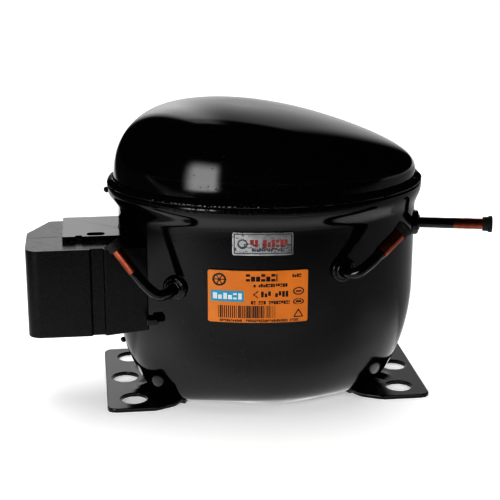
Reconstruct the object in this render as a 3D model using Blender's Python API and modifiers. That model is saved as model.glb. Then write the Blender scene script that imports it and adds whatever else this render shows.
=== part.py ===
"""Hermetic reciprocating compressor with a Scotch-yoke pump on springs.

+Z is up and +Y is the back. The two feet stand at z = 0, and the origin is under the middle of the
bounding box. Every size is in millimetres; the helpers turn it into Blender's metres.
"""

import math

import bmesh
import bpy
from mathutils import Matrix, Vector

MM = 0.001
GAP = 0.35  # clearance between pieces that touch
FRAME_SHIFT = (1.05, 1.59, -0.6)  # puts the bounding box's middle over the origin, and the feet on z = 0

# Sheet-steel housing
SHEET = 2.7
WALL_X, WALL_A, WALL_B = 3.5, 94.5, 66.5  # centre and half-axes of the lower wall's plan
LIP_X, LIP_A, LIP_B = 2.0, 99.5, 72.0  # the same for the flared lip
DOME_A, DOME_B = 95.5, 68.0
BOTTOM, SUMP_DROP, SUMP_RADIUS = 3.0, 2.2, 51.0
FLARE_START, LIP_WIDEST, LIP_TOP = 119.0, 131.0, 134.0
DOME_BASE, SKIRT_END = 137.0, 131.0
# Bottom corner of the bowl: (inset, height) towards +X, -X and +-Y
CORNER_RIGHT, CORNER_LEFT, CORNER_FRONT = (38, 65), (30, 42), (19, 28)
TIGHT_RIGHT, TIGHT_LEFT = 0.5, 1.0
AROUND = 44

# Feet, on the common 170 x 70 mm grommet pattern with a middle hole
FOOT_OUTER_X, FOOT_HALF_Y, FOOT_LOW, FOOT_TOP = 102.0, 50.2, 0.6, 3.0
HOLE_X, MIDDLE_HOLE_X, HOLE_Y, HOLE_R = 85.0, 89.5, 35.0, 8.2

# Tube stubs: name, where the axis leaves the wall, and the free route after the collar
TUBE_R, COLLAR_R, COLLAR_OUT, TUBE_IN = 3.3, 7.7, 4.0, 9.0
CAP_R, CAP_LENGTH, CAP_OVER = 5.2, 5.8, 3.8
SUCTION_EXIT = (-58.8, -50.0, 80.8)
SUCTION_ROUTE = [(-63.4, -57.4, 80.0), (-70.2, -62.3, 80.8), (-77.4, -62.4, 87.0), (-84.2, -61.0, 95.4),
                 (-89.6, -58.6, 102.7), (-95.6, -56.1, 110.8)]
PROCESS_EXIT = (40.9, -61.1, 92.4)
PROCESS_ROUTE = [(43.0, -68.4, 91.8), (48.6, -71.8, 93.6), (56.2, -71.2, 99.2), (64.2, -68.9, 106.4),
                 (71.6, -65.9, 112.4), (79.0, -62.9, 118.4)]
DISCHARGE_EXIT = (96.9, -10.0, 105.2)
DISCHARGE_LENGTH = 47.5

# Electrical box
BOX_LEFT, BOX_FRONT, BOX_BACK, BOX_LOW, BOX_HIGH = -148.4, -37.0, 28.0, 46.8, 102.4
BOX_WALL, PARTING_Y = 2.4, -8.0
CHAMFER_X, CHAMFER_Y = -134.7, 2.0  # where the back-left chamfer meets the back and the left side
GROOVE_LEFT, GROOVE_RIGHT, GROOVE_DEPTH = -109.8, -100.8, 1.8
FRONT_WALL = 4.0
BRACKET = {"left": -126.0, "front": -20.0, "back": 24.0, "top": 105.8, "sheet": 1.6, "hem": 102.8}
TERMINAL_Z, TERMINAL_R = 75.0, 16.0

# Labels on the front wall, as x and z ranges
LABEL_X, LABEL_Z = (-40.5, 19.5), (61.8, 95.2)
PLATE_X, PLATE_Z = (-26.0, 10.0), (104.4, 118.6)
STICKER = 0.25

# Pump: the shaft stands at SHAFT_X and the cylinder points to +X
SHAFT_X, SHAFT_R, THROW = -6.0, 8.0, 9.8
PIN_R, PIN_TOP = 7.5, 129.5
WEB_LOW, WEB_HIGH, WEB_R, COUNTER_R = 98.0, 104.5, 18.0, 27.0
BORE_R, PISTON_R, CYLINDER_Z = 14.0, 13.6, 124.0
SLIDER_X, SLIDER_Y = 22.0, 20.0
YOKE_WALL = 5.0
YOKE_LOW, YOKE_HIGH, SLOT_TOP = 112.5, 134.5, 130.2
CYLINDER_FRONT, CYLINDER_HEAD_END = 21.6, 51.5
PLATE_LOW, PLATE_HIGH = 88.0, 97.0
HUB_LOW, HUB_R, BUSH_R = 79.5, 15.0, 10.2
STATOR_HALF, STATOR_CORNER, STATOR_BORE = 46.0, 14.0, 26.6
STATOR_LOW, STATOR_HIGH = 30.0, 72.0
ROTOR_R, END_RING = 25.8, 5.0
WINDING_IN, WINDING_OUT, WINDING_TALL = 28.5, 42.0, 12.0
BOLT_AT, BOLT_R, POST_R = 36.0, 2.8, 6.5
SPRING_R, SPRING_WIRE, SPRING_TURNS, SPRING_LOW = 6.8, 1.1, 4, 8.6
VALVE_STACK = [("head_gasket", 0.8), ("suction_reed", 0.4), ("valve_plate", 4.0), ("discharge_reed", 0.4)]
HEAD_HALF_Y, HEAD_LOW, HEAD_HIGH, HEAD_LENGTH = 20.0, 104.5, 143.5, 13.5
HEAD_BOLTS = [("head_bolt_upper", 15.0, 139.0), ("head_bolt_lower", -15.0, 109.0)]

COLOURS = {  # name: base colour, roughness, metallic
    "black_paint": ((0.012, 0.012, 0.013), 0.22, 0.0),
    "plastic": ((0.02, 0.02, 0.021), 0.5, 0.0),
    "copper": ((0.72, 0.32, 0.18), 0.3, 1.0),
    "rubber": ((0.03, 0.03, 0.03), 0.7, 0.0),
    "steel": ((0.55, 0.55, 0.56), 0.35, 1.0),
    "cast_iron": ((0.16, 0.16, 0.17), 0.6, 0.9),
    "aluminium": ((0.75, 0.75, 0.77), 0.4, 1.0),
    "bronze": ((0.62, 0.45, 0.24), 0.35, 1.0),
    "winding": ((0.50, 0.22, 0.10), 0.45, 0.6),
    "laminate": ((0.30, 0.30, 0.32), 0.5, 0.9),
    "gasket": ((0.20, 0.18, 0.15), 0.8, 0.0),
    "label_orange": ((0.78, 0.28, 0.03), 0.4, 0.0),
    "label_silver": ((0.60, 0.60, 0.62), 0.3, 0.8),
}


def clear_scene():
    for obj in list(bpy.data.objects):
        bpy.data.objects.remove(obj, do_unlink=True)


def new_collection(name):
    collection = bpy.data.collections.new(name)
    bpy.context.scene.collection.children.link(collection)
    return collection


def make_material(name):
    colour, roughness, metallic = COLOURS[name]
    material = bpy.data.materials.new(name)
    material.use_nodes = True
    shader = material.node_tree.nodes["Principled BSDF"]
    shader.inputs["Base Color"].default_value = (*colour, 1)
    shader.inputs["Roughness"].default_value = roughness
    shader.inputs["Metallic"].default_value = metallic
    material.diffuse_color = (*colour, 1)
    return material


clear_scene()
PARTS = new_collection("compressor")
CUTTERS = new_collection("cutters")
MATERIALS = {name: make_material(name) for name in COLOURS}


def empty(name, place, parent=None):
    """An unrendered axis that pieces hang from, at a place in millimetres."""
    obj = bpy.data.objects.new(name, None)
    obj.location = Vector(place) * MM
    obj.parent = parent
    PARTS.objects.link(obj)
    return obj


FRAME = empty("compressor_frame", FRAME_SHIFT)
SHAFT_AXIS = empty("shaft_axis", (SHAFT_X, 0, 0), FRAME)
PIN_AXIS = empty("crankpin_axis", (THROW, 0, 0), SHAFT_AXIS)
YOKE_AXIS = empty("yoke_axis", (THROW, 0, 0), SHAFT_AXIS)


def as_object(name, data, material, parent, collection=None):
    obj = bpy.data.objects.new(name, data)
    (collection or PARTS).objects.link(obj)
    obj.parent = parent
    if material:
        data.materials.append(MATERIALS[material])
    return obj


def from_bmesh(name, shape, material=None, parent=FRAME):
    """A node from a mesh in millimetres. Without a material it is a hidden cutter."""
    bmesh.ops.scale(shape, vec=(MM, MM, MM), verts=shape.verts)
    bmesh.ops.recalc_face_normals(shape, faces=shape.faces)
    mesh = bpy.data.meshes.new(name)
    shape.to_mesh(mesh)
    shape.free()
    mesh.shade_smooth()
    mesh.set_sharp_from_angle(angle=math.radians(35))
    obj = as_object(name, mesh, material, parent, None if material else CUTTERS)
    if not material:
        obj.hide_render = True
        obj.display_type = "WIRE"
    return obj


def bevel(obj, width, segments=2):
    modifier = obj.modifiers.new("rounded", "BEVEL")
    modifier.width = width * MM
    modifier.segments = segments
    modifier.limit_method = "ANGLE"
    modifier.angle_limit = math.radians(50)
    return obj


def solidify(obj, thickness, offset=-1):
    modifier = obj.modifiers.new("sheet", "SOLIDIFY")
    modifier.thickness = thickness * MM
    modifier.offset = offset
    modifier.use_even_offset = True
    return obj


def boolean(obj, operation, *others):
    for other in others:
        modifier = obj.modifiers.new(operation.lower(), "BOOLEAN")
        modifier.operation = operation
        modifier.solver = "EXACT"
        modifier.object = other
    return obj


def cut(obj, *cutters):
    return boolean(obj, "DIFFERENCE", *cutters)


def join(obj, *others):
    return boolean(obj, "UNION", *others)


def block(name, low, high, material=None, parent=FRAME):
    """A box between two corners."""
    shape = bmesh.new()
    bmesh.ops.create_cube(shape, size=1)
    low, high = Vector(low), Vector(high)
    bmesh.ops.scale(shape, vec=high - low, verts=shape.verts)
    bmesh.ops.translate(shape, vec=(low + high) / 2, verts=shape.verts)
    return from_bmesh(name, shape, material, parent)


def along(start, end):
    """The matrix that lays a shape made on +Z from start towards end."""
    start, end = Vector(start), Vector(end)
    turn = (end - start).to_track_quat("Z", "Y").to_matrix().to_4x4()
    return Matrix.Translation((start + end) / 2) @ turn


def rod(name, start, end, radius, material=None, parent=FRAME, segments=24):
    """A cylinder between two points."""
    shape = bmesh.new()
    depth = (Vector(end) - Vector(start)).length
    bmesh.ops.create_cone(shape, cap_ends=True, segments=segments, radius1=radius, radius2=radius,
                          depth=depth, matrix=along(start, end))
    return from_bmesh(name, shape, material, parent)


def turned(name, profile, material, parent=FRAME, at=(0, 0, 0), towards=(0, 0, 1), steps=28):
    """A Screw of (radius, height) points. A ring's profile is closed, and any other starts and ends at radius 0."""
    shape = bmesh.new()
    points = [shape.verts.new((radius, 0, height)) for radius, height in profile]
    for first, second in zip(points, points[1:]):
        shape.edges.new((first, second))
    if profile[0][0] > 0:
        shape.edges.new((points[-1], points[0]))
    bmesh.ops.scale(shape, vec=(MM, MM, MM), verts=shape.verts)
    mesh = bpy.data.meshes.new(name)
    shape.to_mesh(mesh)
    shape.free()
    obj = as_object(name, mesh, material, parent)
    screw = obj.modifiers.new("turn", "SCREW")
    screw.steps = screw.render_steps = steps
    screw.use_merge_vertices = True
    screw.merge_threshold = 0.00001
    screw.use_smooth_shade = True
    obj.location = Vector(at) * MM
    obj.rotation_euler = Vector(towards).to_track_quat("Z", "Y").to_euler()
    return obj


def ring_profile(inner, outer, low, high):
    """A square ring section."""
    return [(inner, high), (outer, high), (outer, low), (inner, low)]


def tube(name, points, radius, material, parent=FRAME, sides=3):
    """A round tube or wire along points, as a bevelled curve with closed ends."""
    curve = bpy.data.curves.new(name, "CURVE")
    curve.dimensions = "3D"
    curve.bevel_depth = radius * MM
    curve.bevel_resolution = sides
    curve.use_fill_caps = True
    spline = curve.splines.new("POLY")
    spline.points.add(len(points) - 1)
    for point, place in zip(spline.points, points):
        point.co = (*(Vector(place) * MM), 1)
    return as_object(name, curve, material, parent)


def smooth_route(points, steps=4):
    """Points along the smooth curve (Catmull-Rom) through a route's points."""
    ends = [2 * points[0] - points[1], *points, 2 * points[-1] - points[-2]]
    route = []
    for before, start, end, after in zip(ends, ends[1:], ends[2:], ends[3:]):
        for step in range(steps):
            t = step / steps
            route.append(0.5 * (2 * start + (end - before) * t
                                + (2 * before - 5 * start + 4 * end - after) * t * t
                                + (3 * start - before - 3 * end + after) * t ** 3))
    return [*route, points[-1]]


def outline_piece(name, outlines, low, high, material, parent=FRAME):
    """A flat piece from closed 2D outlines between two heights, as a mesh. The first outline holds the others, its holes."""
    curve = bpy.data.curves.new(name, "CURVE")
    curve.dimensions = "2D"
    curve.fill_mode = "BOTH"
    curve.extrude = (high - low) / 2 * MM
    for outline in outlines:
        spline = curve.splines.new("POLY")
        spline.use_cyclic_u = True
        spline.points.add(len(outline) - 1)
        for point, (x, y) in zip(spline.points, outline):
            point.co = (x * MM, y * MM, 0, 1)
    flat = as_object(name + "_outline", curve, None, None)
    graph = bpy.context.evaluated_depsgraph_get()
    mesh = bpy.data.meshes.new_from_object(flat.evaluated_get(graph))
    shape = bmesh.new()
    shape.from_mesh(mesh)
    bmesh.ops.remove_doubles(shape, verts=shape.verts, dist=0.000001)
    bmesh.ops.scale(shape, vec=(1 / MM, 1 / MM, 1 / MM), verts=shape.verts)
    bmesh.ops.translate(shape, vec=(0, 0, (low + high) / 2), verts=shape.verts)
    bpy.data.objects.remove(flat, do_unlink=True)
    bpy.data.meshes.remove(mesh)
    return from_bmesh(name, shape, material, parent)


def rounded(corners, steps=4):
    """An outline of (x, y, radius) corners, the round ones as arcs."""
    outline = []
    for index, (x, y, radius) in enumerate(corners):
        corner = Vector((x, y))
        before = (Vector(corners[index - 1][:2]) - corner).normalized()
        after = (Vector(corners[(index + 1) % len(corners)][:2]) - corner).normalized()
        if not radius:
            outline.append((x, y))
            continue
        half = before.angle(after) / 2
        middle = corner + (before + after).normalized() * radius / math.sin(half)
        start = corner + before * radius / math.tan(half) - middle
        end = corner + after * radius / math.tan(half) - middle
        for step in range(steps + 1):
            arm = start.lerp(end, step / steps).normalized() * radius
            outline.append(tuple(middle + arm))
    return outline


def circle(x, y, radius, steps=24):
    turns = [2 * math.pi * step / steps for step in range(steps)]
    return [(x + radius * math.cos(turn), y + radius * math.sin(turn)) for turn in turns]


def loft(rings, start=None, end=None):
    """A mesh through closed rings of points, with a fan to the start and end points where they are given."""
    shape = bmesh.new()
    rows = [[shape.verts.new(point) for point in ring] for ring in rings]
    for row, following in zip(rows, rows[1:]):
        for index in range(len(row)):
            last = index - 1
            shape.faces.new((row[last], row[index], following[index], following[last]))
    for row, tip in ((rows[0], start), (rows[-1], end)):
        if tip is not None:
            point = shape.verts.new(tip)
            for index in range(len(row)):
                shape.faces.new((row[index - 1], row[index], point))
    return shape


def angles(count=AROUND):
    return [2 * math.pi * step / count for step in range(count)]


def smoothstep(value, low, high):
    t = min(max((value - low) / (high - low), 0), 1)
    return t * t * (3 - 2 * t)


def corner_at(angle):
    """The bottom corner's (inset, height) in a direction. The corner is drawn in tighter near the feet's tips."""
    right, left, front = max(math.cos(angle), 0) ** 2, max(-math.cos(angle), 0) ** 2, math.sin(angle) ** 2
    inset, height = (right * r + left * l + front * f
                     for r, l, f in zip(CORNER_RIGHT, CORNER_LEFT, CORNER_FRONT))
    tighter = 4 * math.sin(angle) ** 2 * math.cos(angle) ** 4 * (TIGHT_RIGHT if right else TIGHT_LEFT)
    return inset * (1 - tighter), height


def bowl_point(angle, turn, grow=0.0):
    """A point on the bowl's outer surface. turn runs from 0, on the flat bottom, to 90 degrees, on the wall."""
    inset, height = corner_at(angle)
    edge = Vector(((WALL_A + grow) * math.cos(angle), (WALL_B + grow) * math.sin(angle)))
    place = edge * (1 - inset * (1 - math.sin(turn)) / edge.length)
    z = BOTTOM - grow + height * (1 - math.cos(turn))
    sump = 1 - smoothstep(place.length, SUMP_RADIUS - 5, SUMP_RADIUS + 5)
    return Vector((WALL_X + place.x, place.y, z - SUMP_DROP * sump))


def wall_point(angle, z, grow=0.0):
    """A point on the bowl's outer surface at a height above its flat bottom."""
    height = corner_at(angle)[1]
    lift = min(max((z - BOTTOM + grow) / height, 0), 1)
    point = bowl_point(angle, math.acos(1 - lift), grow)
    return Vector((point.x, point.y, z))


def bowl_rings(grow=0.0):
    """The bowl's outer surface, from its bottom up to where the flare starts."""
    flat = [[Vector((WALL_X, 0, 0)).lerp(bowl_point(angle, 0, grow), share) for angle in angles()]
            for share in (0.5, 0.86)]
    for ring in flat:
        for point in ring:
            radius = (point.xy - Vector((WALL_X, 0))).length
            sump = 1 - smoothstep(radius, SUMP_RADIUS - 5, SUMP_RADIUS + 5)
            point.z = BOTTOM - grow - SUMP_DROP * sump
    turns = [math.radians(degrees) for degrees in (0, 18, 36, 54, 72, 90)]
    return flat + [[bowl_point(angle, turn, grow) for angle in angles()] for turn in turns]


def plan_ring(centre_x, a, b, z):
    return [Vector((centre_x + a * math.cos(angle), b * math.sin(angle), z)) for angle in angles()]


def flare_rings(heights):
    """The bell-mouthed rim that the upper shell sits in."""
    rings = []
    for z in heights:
        share = smoothstep(z, FLARE_START - 1, LIP_WIDEST)
        rings.append(plan_ring(WALL_X + (LIP_X - WALL_X) * share, WALL_A + (LIP_A - WALL_A) * share,
                               WALL_B + (LIP_B - WALL_B) * share, z))
    return rings


def shell_cutter():
    """A solid a little larger than the lower housing, straight down below the height of the foot sheet."""
    foot = [wall_point(angle, FOOT_TOP + GAP, GAP) for angle in angles()]
    skirt = [Vector((point.x, point.y, -5)) for point in foot]
    heights = (6, 9, 13, 18, 25, 34, 46, 60, FLARE_START)
    rings = [skirt, foot] + [[wall_point(angle, z, GAP) for angle in angles()] for z in heights]
    return from_bmesh("shell_cutter", loft(rings, (WALL_X, 0, -5), (WALL_X, 0, FLARE_START)))


SHELL_CUTTER = shell_cutter()


def wall_normal(exit_point):
    x, y, _ = exit_point
    return Vector(((x - WALL_X) / WALL_A ** 2, y / WALL_B ** 2, 0)).normalized()


def lower_shell():
    rings = bowl_rings() + [plan_ring(WALL_X, WALL_A, WALL_B, 92)]
    rings += flare_rings((FLARE_START, 122, 125, 128, LIP_WIDEST, LIP_TOP))
    shell = from_bmesh("lower_shell", loft(rings, (WALL_X, 0, BOTTOM - SUMP_DROP)), "black_paint")
    solidify(shell, SHEET)
    for name, place in (("suction", SUCTION_EXIT), ("process", PROCESS_EXIT), ("discharge", DISCHARGE_EXIT)):
        place = Vector(place)
        normal = wall_normal(place)
        cut(shell, rod(name + "_hole", place - normal * 12, place + normal * 12, TUBE_R + GAP, segments=16))
    cut(shell, rod("terminal_hole", (-110, 0, TERMINAL_Z), (-80, 0, TERMINAL_Z), TERMINAL_R + GAP))


def upper_shell():
    """A dome that is highest left of the middle and slopes down to the right."""
    rings = [plan_ring(LIP_X, DOME_A, DOME_B, SKIRT_END)]
    for share in (1.0, 0.992, 0.972, 0.935, 0.875, 0.79, 0.68, 0.54, 0.38, 0.2):
        ring = []
        for angle in angles():
            along_x = share * math.cos(angle)
            height = 44.4 - 12.3 * along_x - 6.15 * along_x ** 2
            rightness = (1 + math.cos(angle)) / 2
            power = 3.82 - 2.06 * rightness
            root = 2.24 + 1.18 * rightness
            z = DOME_BASE + height * (1 - share ** power) ** (1 / root)
            ring.append(Vector((LIP_X + DOME_A * along_x, DOME_B * share * math.sin(angle), z)))
        rings.append(ring)
    shell = from_bmesh("upper_shell", loft(rings, None, (LIP_X, 0, DOME_BASE + 44.4)), "black_paint")
    solidify(shell, SHEET)


def seam_weld():
    """The fillet weld that fills the corner between the lip and the dome."""
    section = [(0.4, LIP_TOP + GAP), (3.7, LIP_TOP + GAP), (3.3, 135.8), (2.0, 137.3), (0.5, 138.2)]
    rings = [plan_ring(LIP_X, DOME_A + out, DOME_B + out, z) for out, z in section]
    from_bmesh("seam_weld", ring_loft(rings), "black_paint")


def ring_loft(rings):
    """A closed hoop through rings, the last one joined to the first."""
    shape = loft(rings + [rings[0]])
    bmesh.ops.remove_doubles(shape, verts=shape.verts, dist=0.0001)
    return shape


def foot(name, side):
    """A pressed sheet foot with its grommet holes. side is -1 on the left and 1 on the right."""
    corners = [(39, -35, 0), (53.5, -42, 0), (71, -FOOT_HALF_Y, 4), (FOOT_OUTER_X, -FOOT_HALF_Y, 5),
               (FOOT_OUTER_X, FOOT_HALF_Y, 5), (71, FOOT_HALF_Y, 4), (53.5, 42, 0), (39, 35, 0)]
    outline = rounded([(side * x, y, radius) for x, y, radius in corners])
    piece = outline_piece(name, [outline], FOOT_LOW, FOOT_TOP, "black_paint")
    cut(piece, SHELL_CUTTER)
    cut(piece, *(rod(f"{name}_hole_{y:.0f}", (side * x, y, -2), (side * x, y, 14), HOLE_R)
                 for x, y in ((HOLE_X, -HOLE_Y), (MIDDLE_HOLE_X, 0), (HOLE_X, HOLE_Y))))


def stub(name, exit_point, route):
    """A painted copper tube stub, its welded collar on the wall and the rubber cap on its end."""
    exit_point = Vector(exit_point)
    normal = wall_normal(exit_point)
    points = [exit_point - normal * TUBE_IN, exit_point, exit_point + normal * COLLAR_OUT,
              *(Vector(point) for point in route)]
    path = smooth_route(points)
    tube(name + "_tube", path, TUBE_R, "copper", sides=4)
    collar = turned(name + "_collar", [(TUBE_R + GAP, 3.2), (5.8, 3.0), (COLLAR_R, 1.8), (COLLAR_R, -4),
                                       (TUBE_R + GAP, -4)], "black_paint", at=exit_point, towards=normal)
    cut(collar, SHELL_CUTTER)
    end, back = path[-1], path[-2]
    cap(name + "_cap", end, (end - back).normalized())


def cap(name, end, outward):
    """A rubber cap: a cup over the tube's end, with a flange round its dished top."""
    inner = TUBE_R + GAP
    low, high = -CAP_OVER, CAP_LENGTH - CAP_OVER
    skirt = CAP_R - 0.7
    profile = [(0, high - 0.9), (3.4, high - 0.9), (3.9, high), (CAP_R - 0.4, high), (CAP_R, high - 0.5),
               (CAP_R, high - 1.8), (skirt, high - 2.6), (skirt, low), (inner, low), (inner, GAP), (0, GAP)]
    turned(name, profile, "rubber", at=end, towards=outward, steps=20)


def tube_stubs():
    stub("suction", SUCTION_EXIT, SUCTION_ROUTE)
    stub("process", PROCESS_EXIT, PROCESS_ROUTE)
    start = Vector(DISCHARGE_EXIT)
    normal = wall_normal(start)
    stub("discharge", start, [start + normal * reach for reach in (18, 36, DISCHARGE_LENGTH)])


def wall_sheet(name, x_range, z_range, material):
    """A sticker on the front wall, bent round it."""
    shape = bmesh.new()
    columns = 12
    grid = []
    for column in range(columns + 1):
        x = x_range[0] + (x_range[1] - x_range[0]) * column / columns
        angle = -math.acos((x - WALL_X) / (WALL_A + GAP))
        edge = min(column, columns - column) == 0
        inset = 1.2 if edge else 0.0
        grid.append([shape.verts.new(wall_point(angle, z, GAP)) for z in
                     (z_range[0] + inset, z_range[1] - inset)])
    for left, right in zip(grid, grid[1:]):
        shape.faces.new((left[0], right[0], right[1], left[1]))
    solidify(from_bmesh(name, shape, material), STICKER, 1)


def box_half(name, corners, low_y, high_y):
    """One half of the electrical box, open to the other half and to the housing."""
    half = bevel(outline_piece(name, [rounded(corners)], BOX_LOW, BOX_HIGH, "plastic"), 1.2)
    cavity = outline_piece(name + "_cavity", [[
        (BOX_LEFT + BOX_WALL, low_y), (-50, low_y), (-50, high_y), (CHAMFER_X + 1.6, high_y),
        (BOX_LEFT + BOX_WALL, CHAMFER_Y - 1 if high_y > 0 else high_y)]],
        BOX_LOW + BOX_WALL, BOX_HIGH - BOX_WALL, None)
    cut(half, cavity, SHELL_CUTTER)


def electrical_box():
    groove = BOX_FRONT + GROOVE_DEPTH
    front = PARTING_Y - GAP / 2
    box_half("terminal_cover", [(BOX_LEFT, front, 0), (BOX_LEFT, BOX_FRONT, 5), (GROOVE_LEFT, BOX_FRONT, 0),
                                (GROOVE_LEFT, groove, 0), (GROOVE_RIGHT, groove, 0),
                                (GROOVE_RIGHT, BOX_FRONT, 0), (-60, BOX_FRONT, 0), (-60, front, 0)],
             BOX_FRONT + FRONT_WALL, PARTING_Y + 4)
    back = PARTING_Y + GAP / 2
    box_half("terminal_base", [(BOX_LEFT, back, 0), (-60, back, 0), (-60, BOX_BACK, 0), (CHAMFER_X, BOX_BACK, 3),
                               (BOX_LEFT, CHAMFER_Y, 3)], PARTING_Y - 4, BOX_BACK - BOX_WALL)
    bevel(block("start_relay", (-132, -30, 56), (-105, -3, 94), "plastic"), 2)
    turned("overload_protector", [(0, 12), (10, 12), (12, 10), (12, -12), (0, -12)], "plastic",
           at=(-118, 12.5, 76), towards=(1, 0, 0), steps=20)
    screw = turned("earth_screw", [(0, 3), (3.4, 2.4), (3.8, 0), (2, 0), (2, -6), (0, -6)], "steel",
                   at=(-92, -20, 60), towards=(-1, 0, 0), steps=16)
    cut(screw, SHELL_CUTTER)


def bracket():
    """The painted sheet bracket over the box, turned down along its free edges and slotted."""
    left, front, back, top = BRACKET["left"], BRACKET["front"], BRACKET["back"], BRACKET["top"]
    plate = bevel(block("box_bracket", (left, front, BRACKET["hem"]), (-70, back, top), "black_paint"), 0.6, 1)
    sheet = BRACKET["sheet"]
    hollow = block("bracket_hollow", (left + sheet, front + sheet, BRACKET["hem"] - 3),
                   (-60, back + 5, top - sheet))
    slot = block("bracket_slot", (-110, -15.5, top - 5), (-99, -12.5, top + 3))
    notch = block("bracket_notch", (-118, front - 2, BRACKET["hem"] - 1), (-114, front + 2.4, top + 1))
    cut(plate, hollow, slot, notch, SHELL_CUTTER)
    clip = bevel(block("cover_clip", (-76.5, -47.5, 56), (-69.5, -40, 60.5), "black_paint"), 0.8, 1)
    cut(clip, SHELL_CUTTER)


def terminal():
    """The glass-sealed terminal in the wall behind the box, with its three pins."""
    cup = turned("hermetic_terminal", [(0, 2), (12, 2), (13, 4), (TERMINAL_R, 4), (TERMINAL_R, -3), (0, -3)],
                 "steel", at=(-90, 0, TERMINAL_Z), towards=(-1, 0, 0))
    for index, name in enumerate(("terminal_pin_common", "terminal_pin_run", "terminal_pin_start")):
        turn = math.radians(90 + 120 * index)
        y, z = 7 * math.cos(turn), TERMINAL_Z + 7 * math.sin(turn)
        cut(cup, rod(name + "_hole", (-110, y, z), (-70, y, z), 1.6 + GAP, segments=12))
        rod(name, (-104, y, z), (-79, y, z), 1.6, "steel", segments=12)


def stator_corners():
    return [("front_left", -1, -1), ("front_right", 1, -1), ("back_left", -1, 1), ("back_right", 1, 1)]


def motor_stator():
    half, corner = STATOR_HALF, STATOR_CORNER
    outline = rounded([(SHAFT_X + x * half, y * half, corner) for x, y in ((-1, -1), (1, -1), (1, 1), (-1, 1))])
    holes = [circle(SHAFT_X + x * BOLT_AT, y * BOLT_AT, BOLT_R + GAP, 12) for _, x, y in stator_corners()]
    outline_piece("stator_core", [outline, circle(SHAFT_X, 0, STATOR_BORE, 36), *holes],
                  STATOR_LOW, STATOR_HIGH, "laminate")
    for name, low in (("upper_winding", STATOR_HIGH + GAP), ("lower_winding", STATOR_LOW - GAP - WINDING_TALL)):
        high = low + WINDING_TALL
        turned(name, [(WINDING_IN + 2, high), (WINDING_OUT - 4, high), (WINDING_OUT, high - 4),
                      (WINDING_OUT, low + 4), (WINDING_OUT - 4, low), (WINDING_IN + 2, low),
                      (WINDING_IN, low + 3), (WINDING_IN, high - 3)], "winding", at=(SHAFT_X, 0, 0), steps=32)


def suspension():
    """The bolts through the stator, and the springs that carry the whole pump under them."""
    for name, x, y in stator_corners():
        x, y = SHAFT_X + x * BOLT_AT, y * BOLT_AT
        turned("stator_bolt_" + name, [(0, PLATE_LOW - 4), (BOLT_R, PLATE_LOW - 4), (BOLT_R, STATOR_LOW - GAP),
                                       (5.2, STATOR_LOW - GAP), (5.2, STATOR_LOW - 4), (3.4, STATOR_LOW - 4.4),
                                       (3.0, STATOR_LOW - 9), (0, STATOR_LOW - 9)],
               "steel", at=(x, y, 0), steps=12)
        high = STATOR_LOW - 4 - GAP - SPRING_WIRE
        low = SPRING_LOW + SPRING_WIRE
        turns = [2 * math.pi * SPRING_TURNS * step / (SPRING_TURNS * 9) for step in range(SPRING_TURNS * 9 + 1)]
        points = [(x + (SPRING_R - 1.8) * math.cos(turn), y + (SPRING_R - 1.8) * math.sin(turn),
                   low + (high - low) * turn / turns[-1]) for turn in turns]
        tube("suspension_spring_" + name, points, SPRING_WIRE, "steel", sides=1)


def crankcase():
    """The cast block: base plate, legs to the stator, bearing hub and cylinder in one casting."""
    plate_outline = rounded([(SHAFT_X - 46, -44, 12), (CYLINDER_HEAD_END, -44, 10), (CYLINDER_HEAD_END, 44, 10),
                             (SHAFT_X - 46, 44, 12)])
    casting = outline_piece("cylinder_block", [plate_outline, circle(SHAFT_X, 0, BUSH_R + GAP, 28)],
                            PLATE_LOW, PLATE_HIGH, "cast_iron")
    hub = outline_piece("hub_shape", [circle(SHAFT_X, 0, HUB_R, 28), circle(SHAFT_X, 0, BUSH_R + GAP, 28)],
                        HUB_LOW, PLATE_LOW + 2, None)
    legs = [rod("leg_" + name, (SHAFT_X + x * BOLT_AT, y * BOLT_AT, STATOR_HIGH + GAP),
                (SHAFT_X + x * BOLT_AT, y * BOLT_AT, PLATE_LOW + 2), POST_R, segments=16)
            for name, x, y in stator_corners()]
    barrel = block("barrel_shape", (CYLINDER_FRONT, -HEAD_HALF_Y, PLATE_HIGH - 2),
                   (CYLINDER_HEAD_END, HEAD_HALF_Y, HEAD_HIGH))
    join(casting, hub, *legs, barrel)
    bore = rod("bore_shape", (0, 0, CYLINDER_Z), (70, 0, CYLINDER_Z), BORE_R, segments=40)
    wells = [rod("well_" + name, (SHAFT_X + x * BOLT_AT, y * BOLT_AT, STATOR_LOW),
                 (SHAFT_X + x * BOLT_AT, y * BOLT_AT, PLATE_LOW - 3), BOLT_R + GAP, segments=12)
             for name, x, y in stator_corners()]
    cut(casting, bore, *wells)
    turned("main_bearing", ring_profile(SHAFT_R + GAP, BUSH_R, HUB_LOW, PLATE_HIGH - 0.5), "bronze",
           at=(SHAFT_X, 0, 0))
    turned("thrust_washer", ring_profile(SHAFT_R + GAP, 13, PLATE_HIGH + 0.2, WEB_LOW - 0.2), "bronze",
           at=(SHAFT_X, 0, 0))
    return casting


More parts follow.
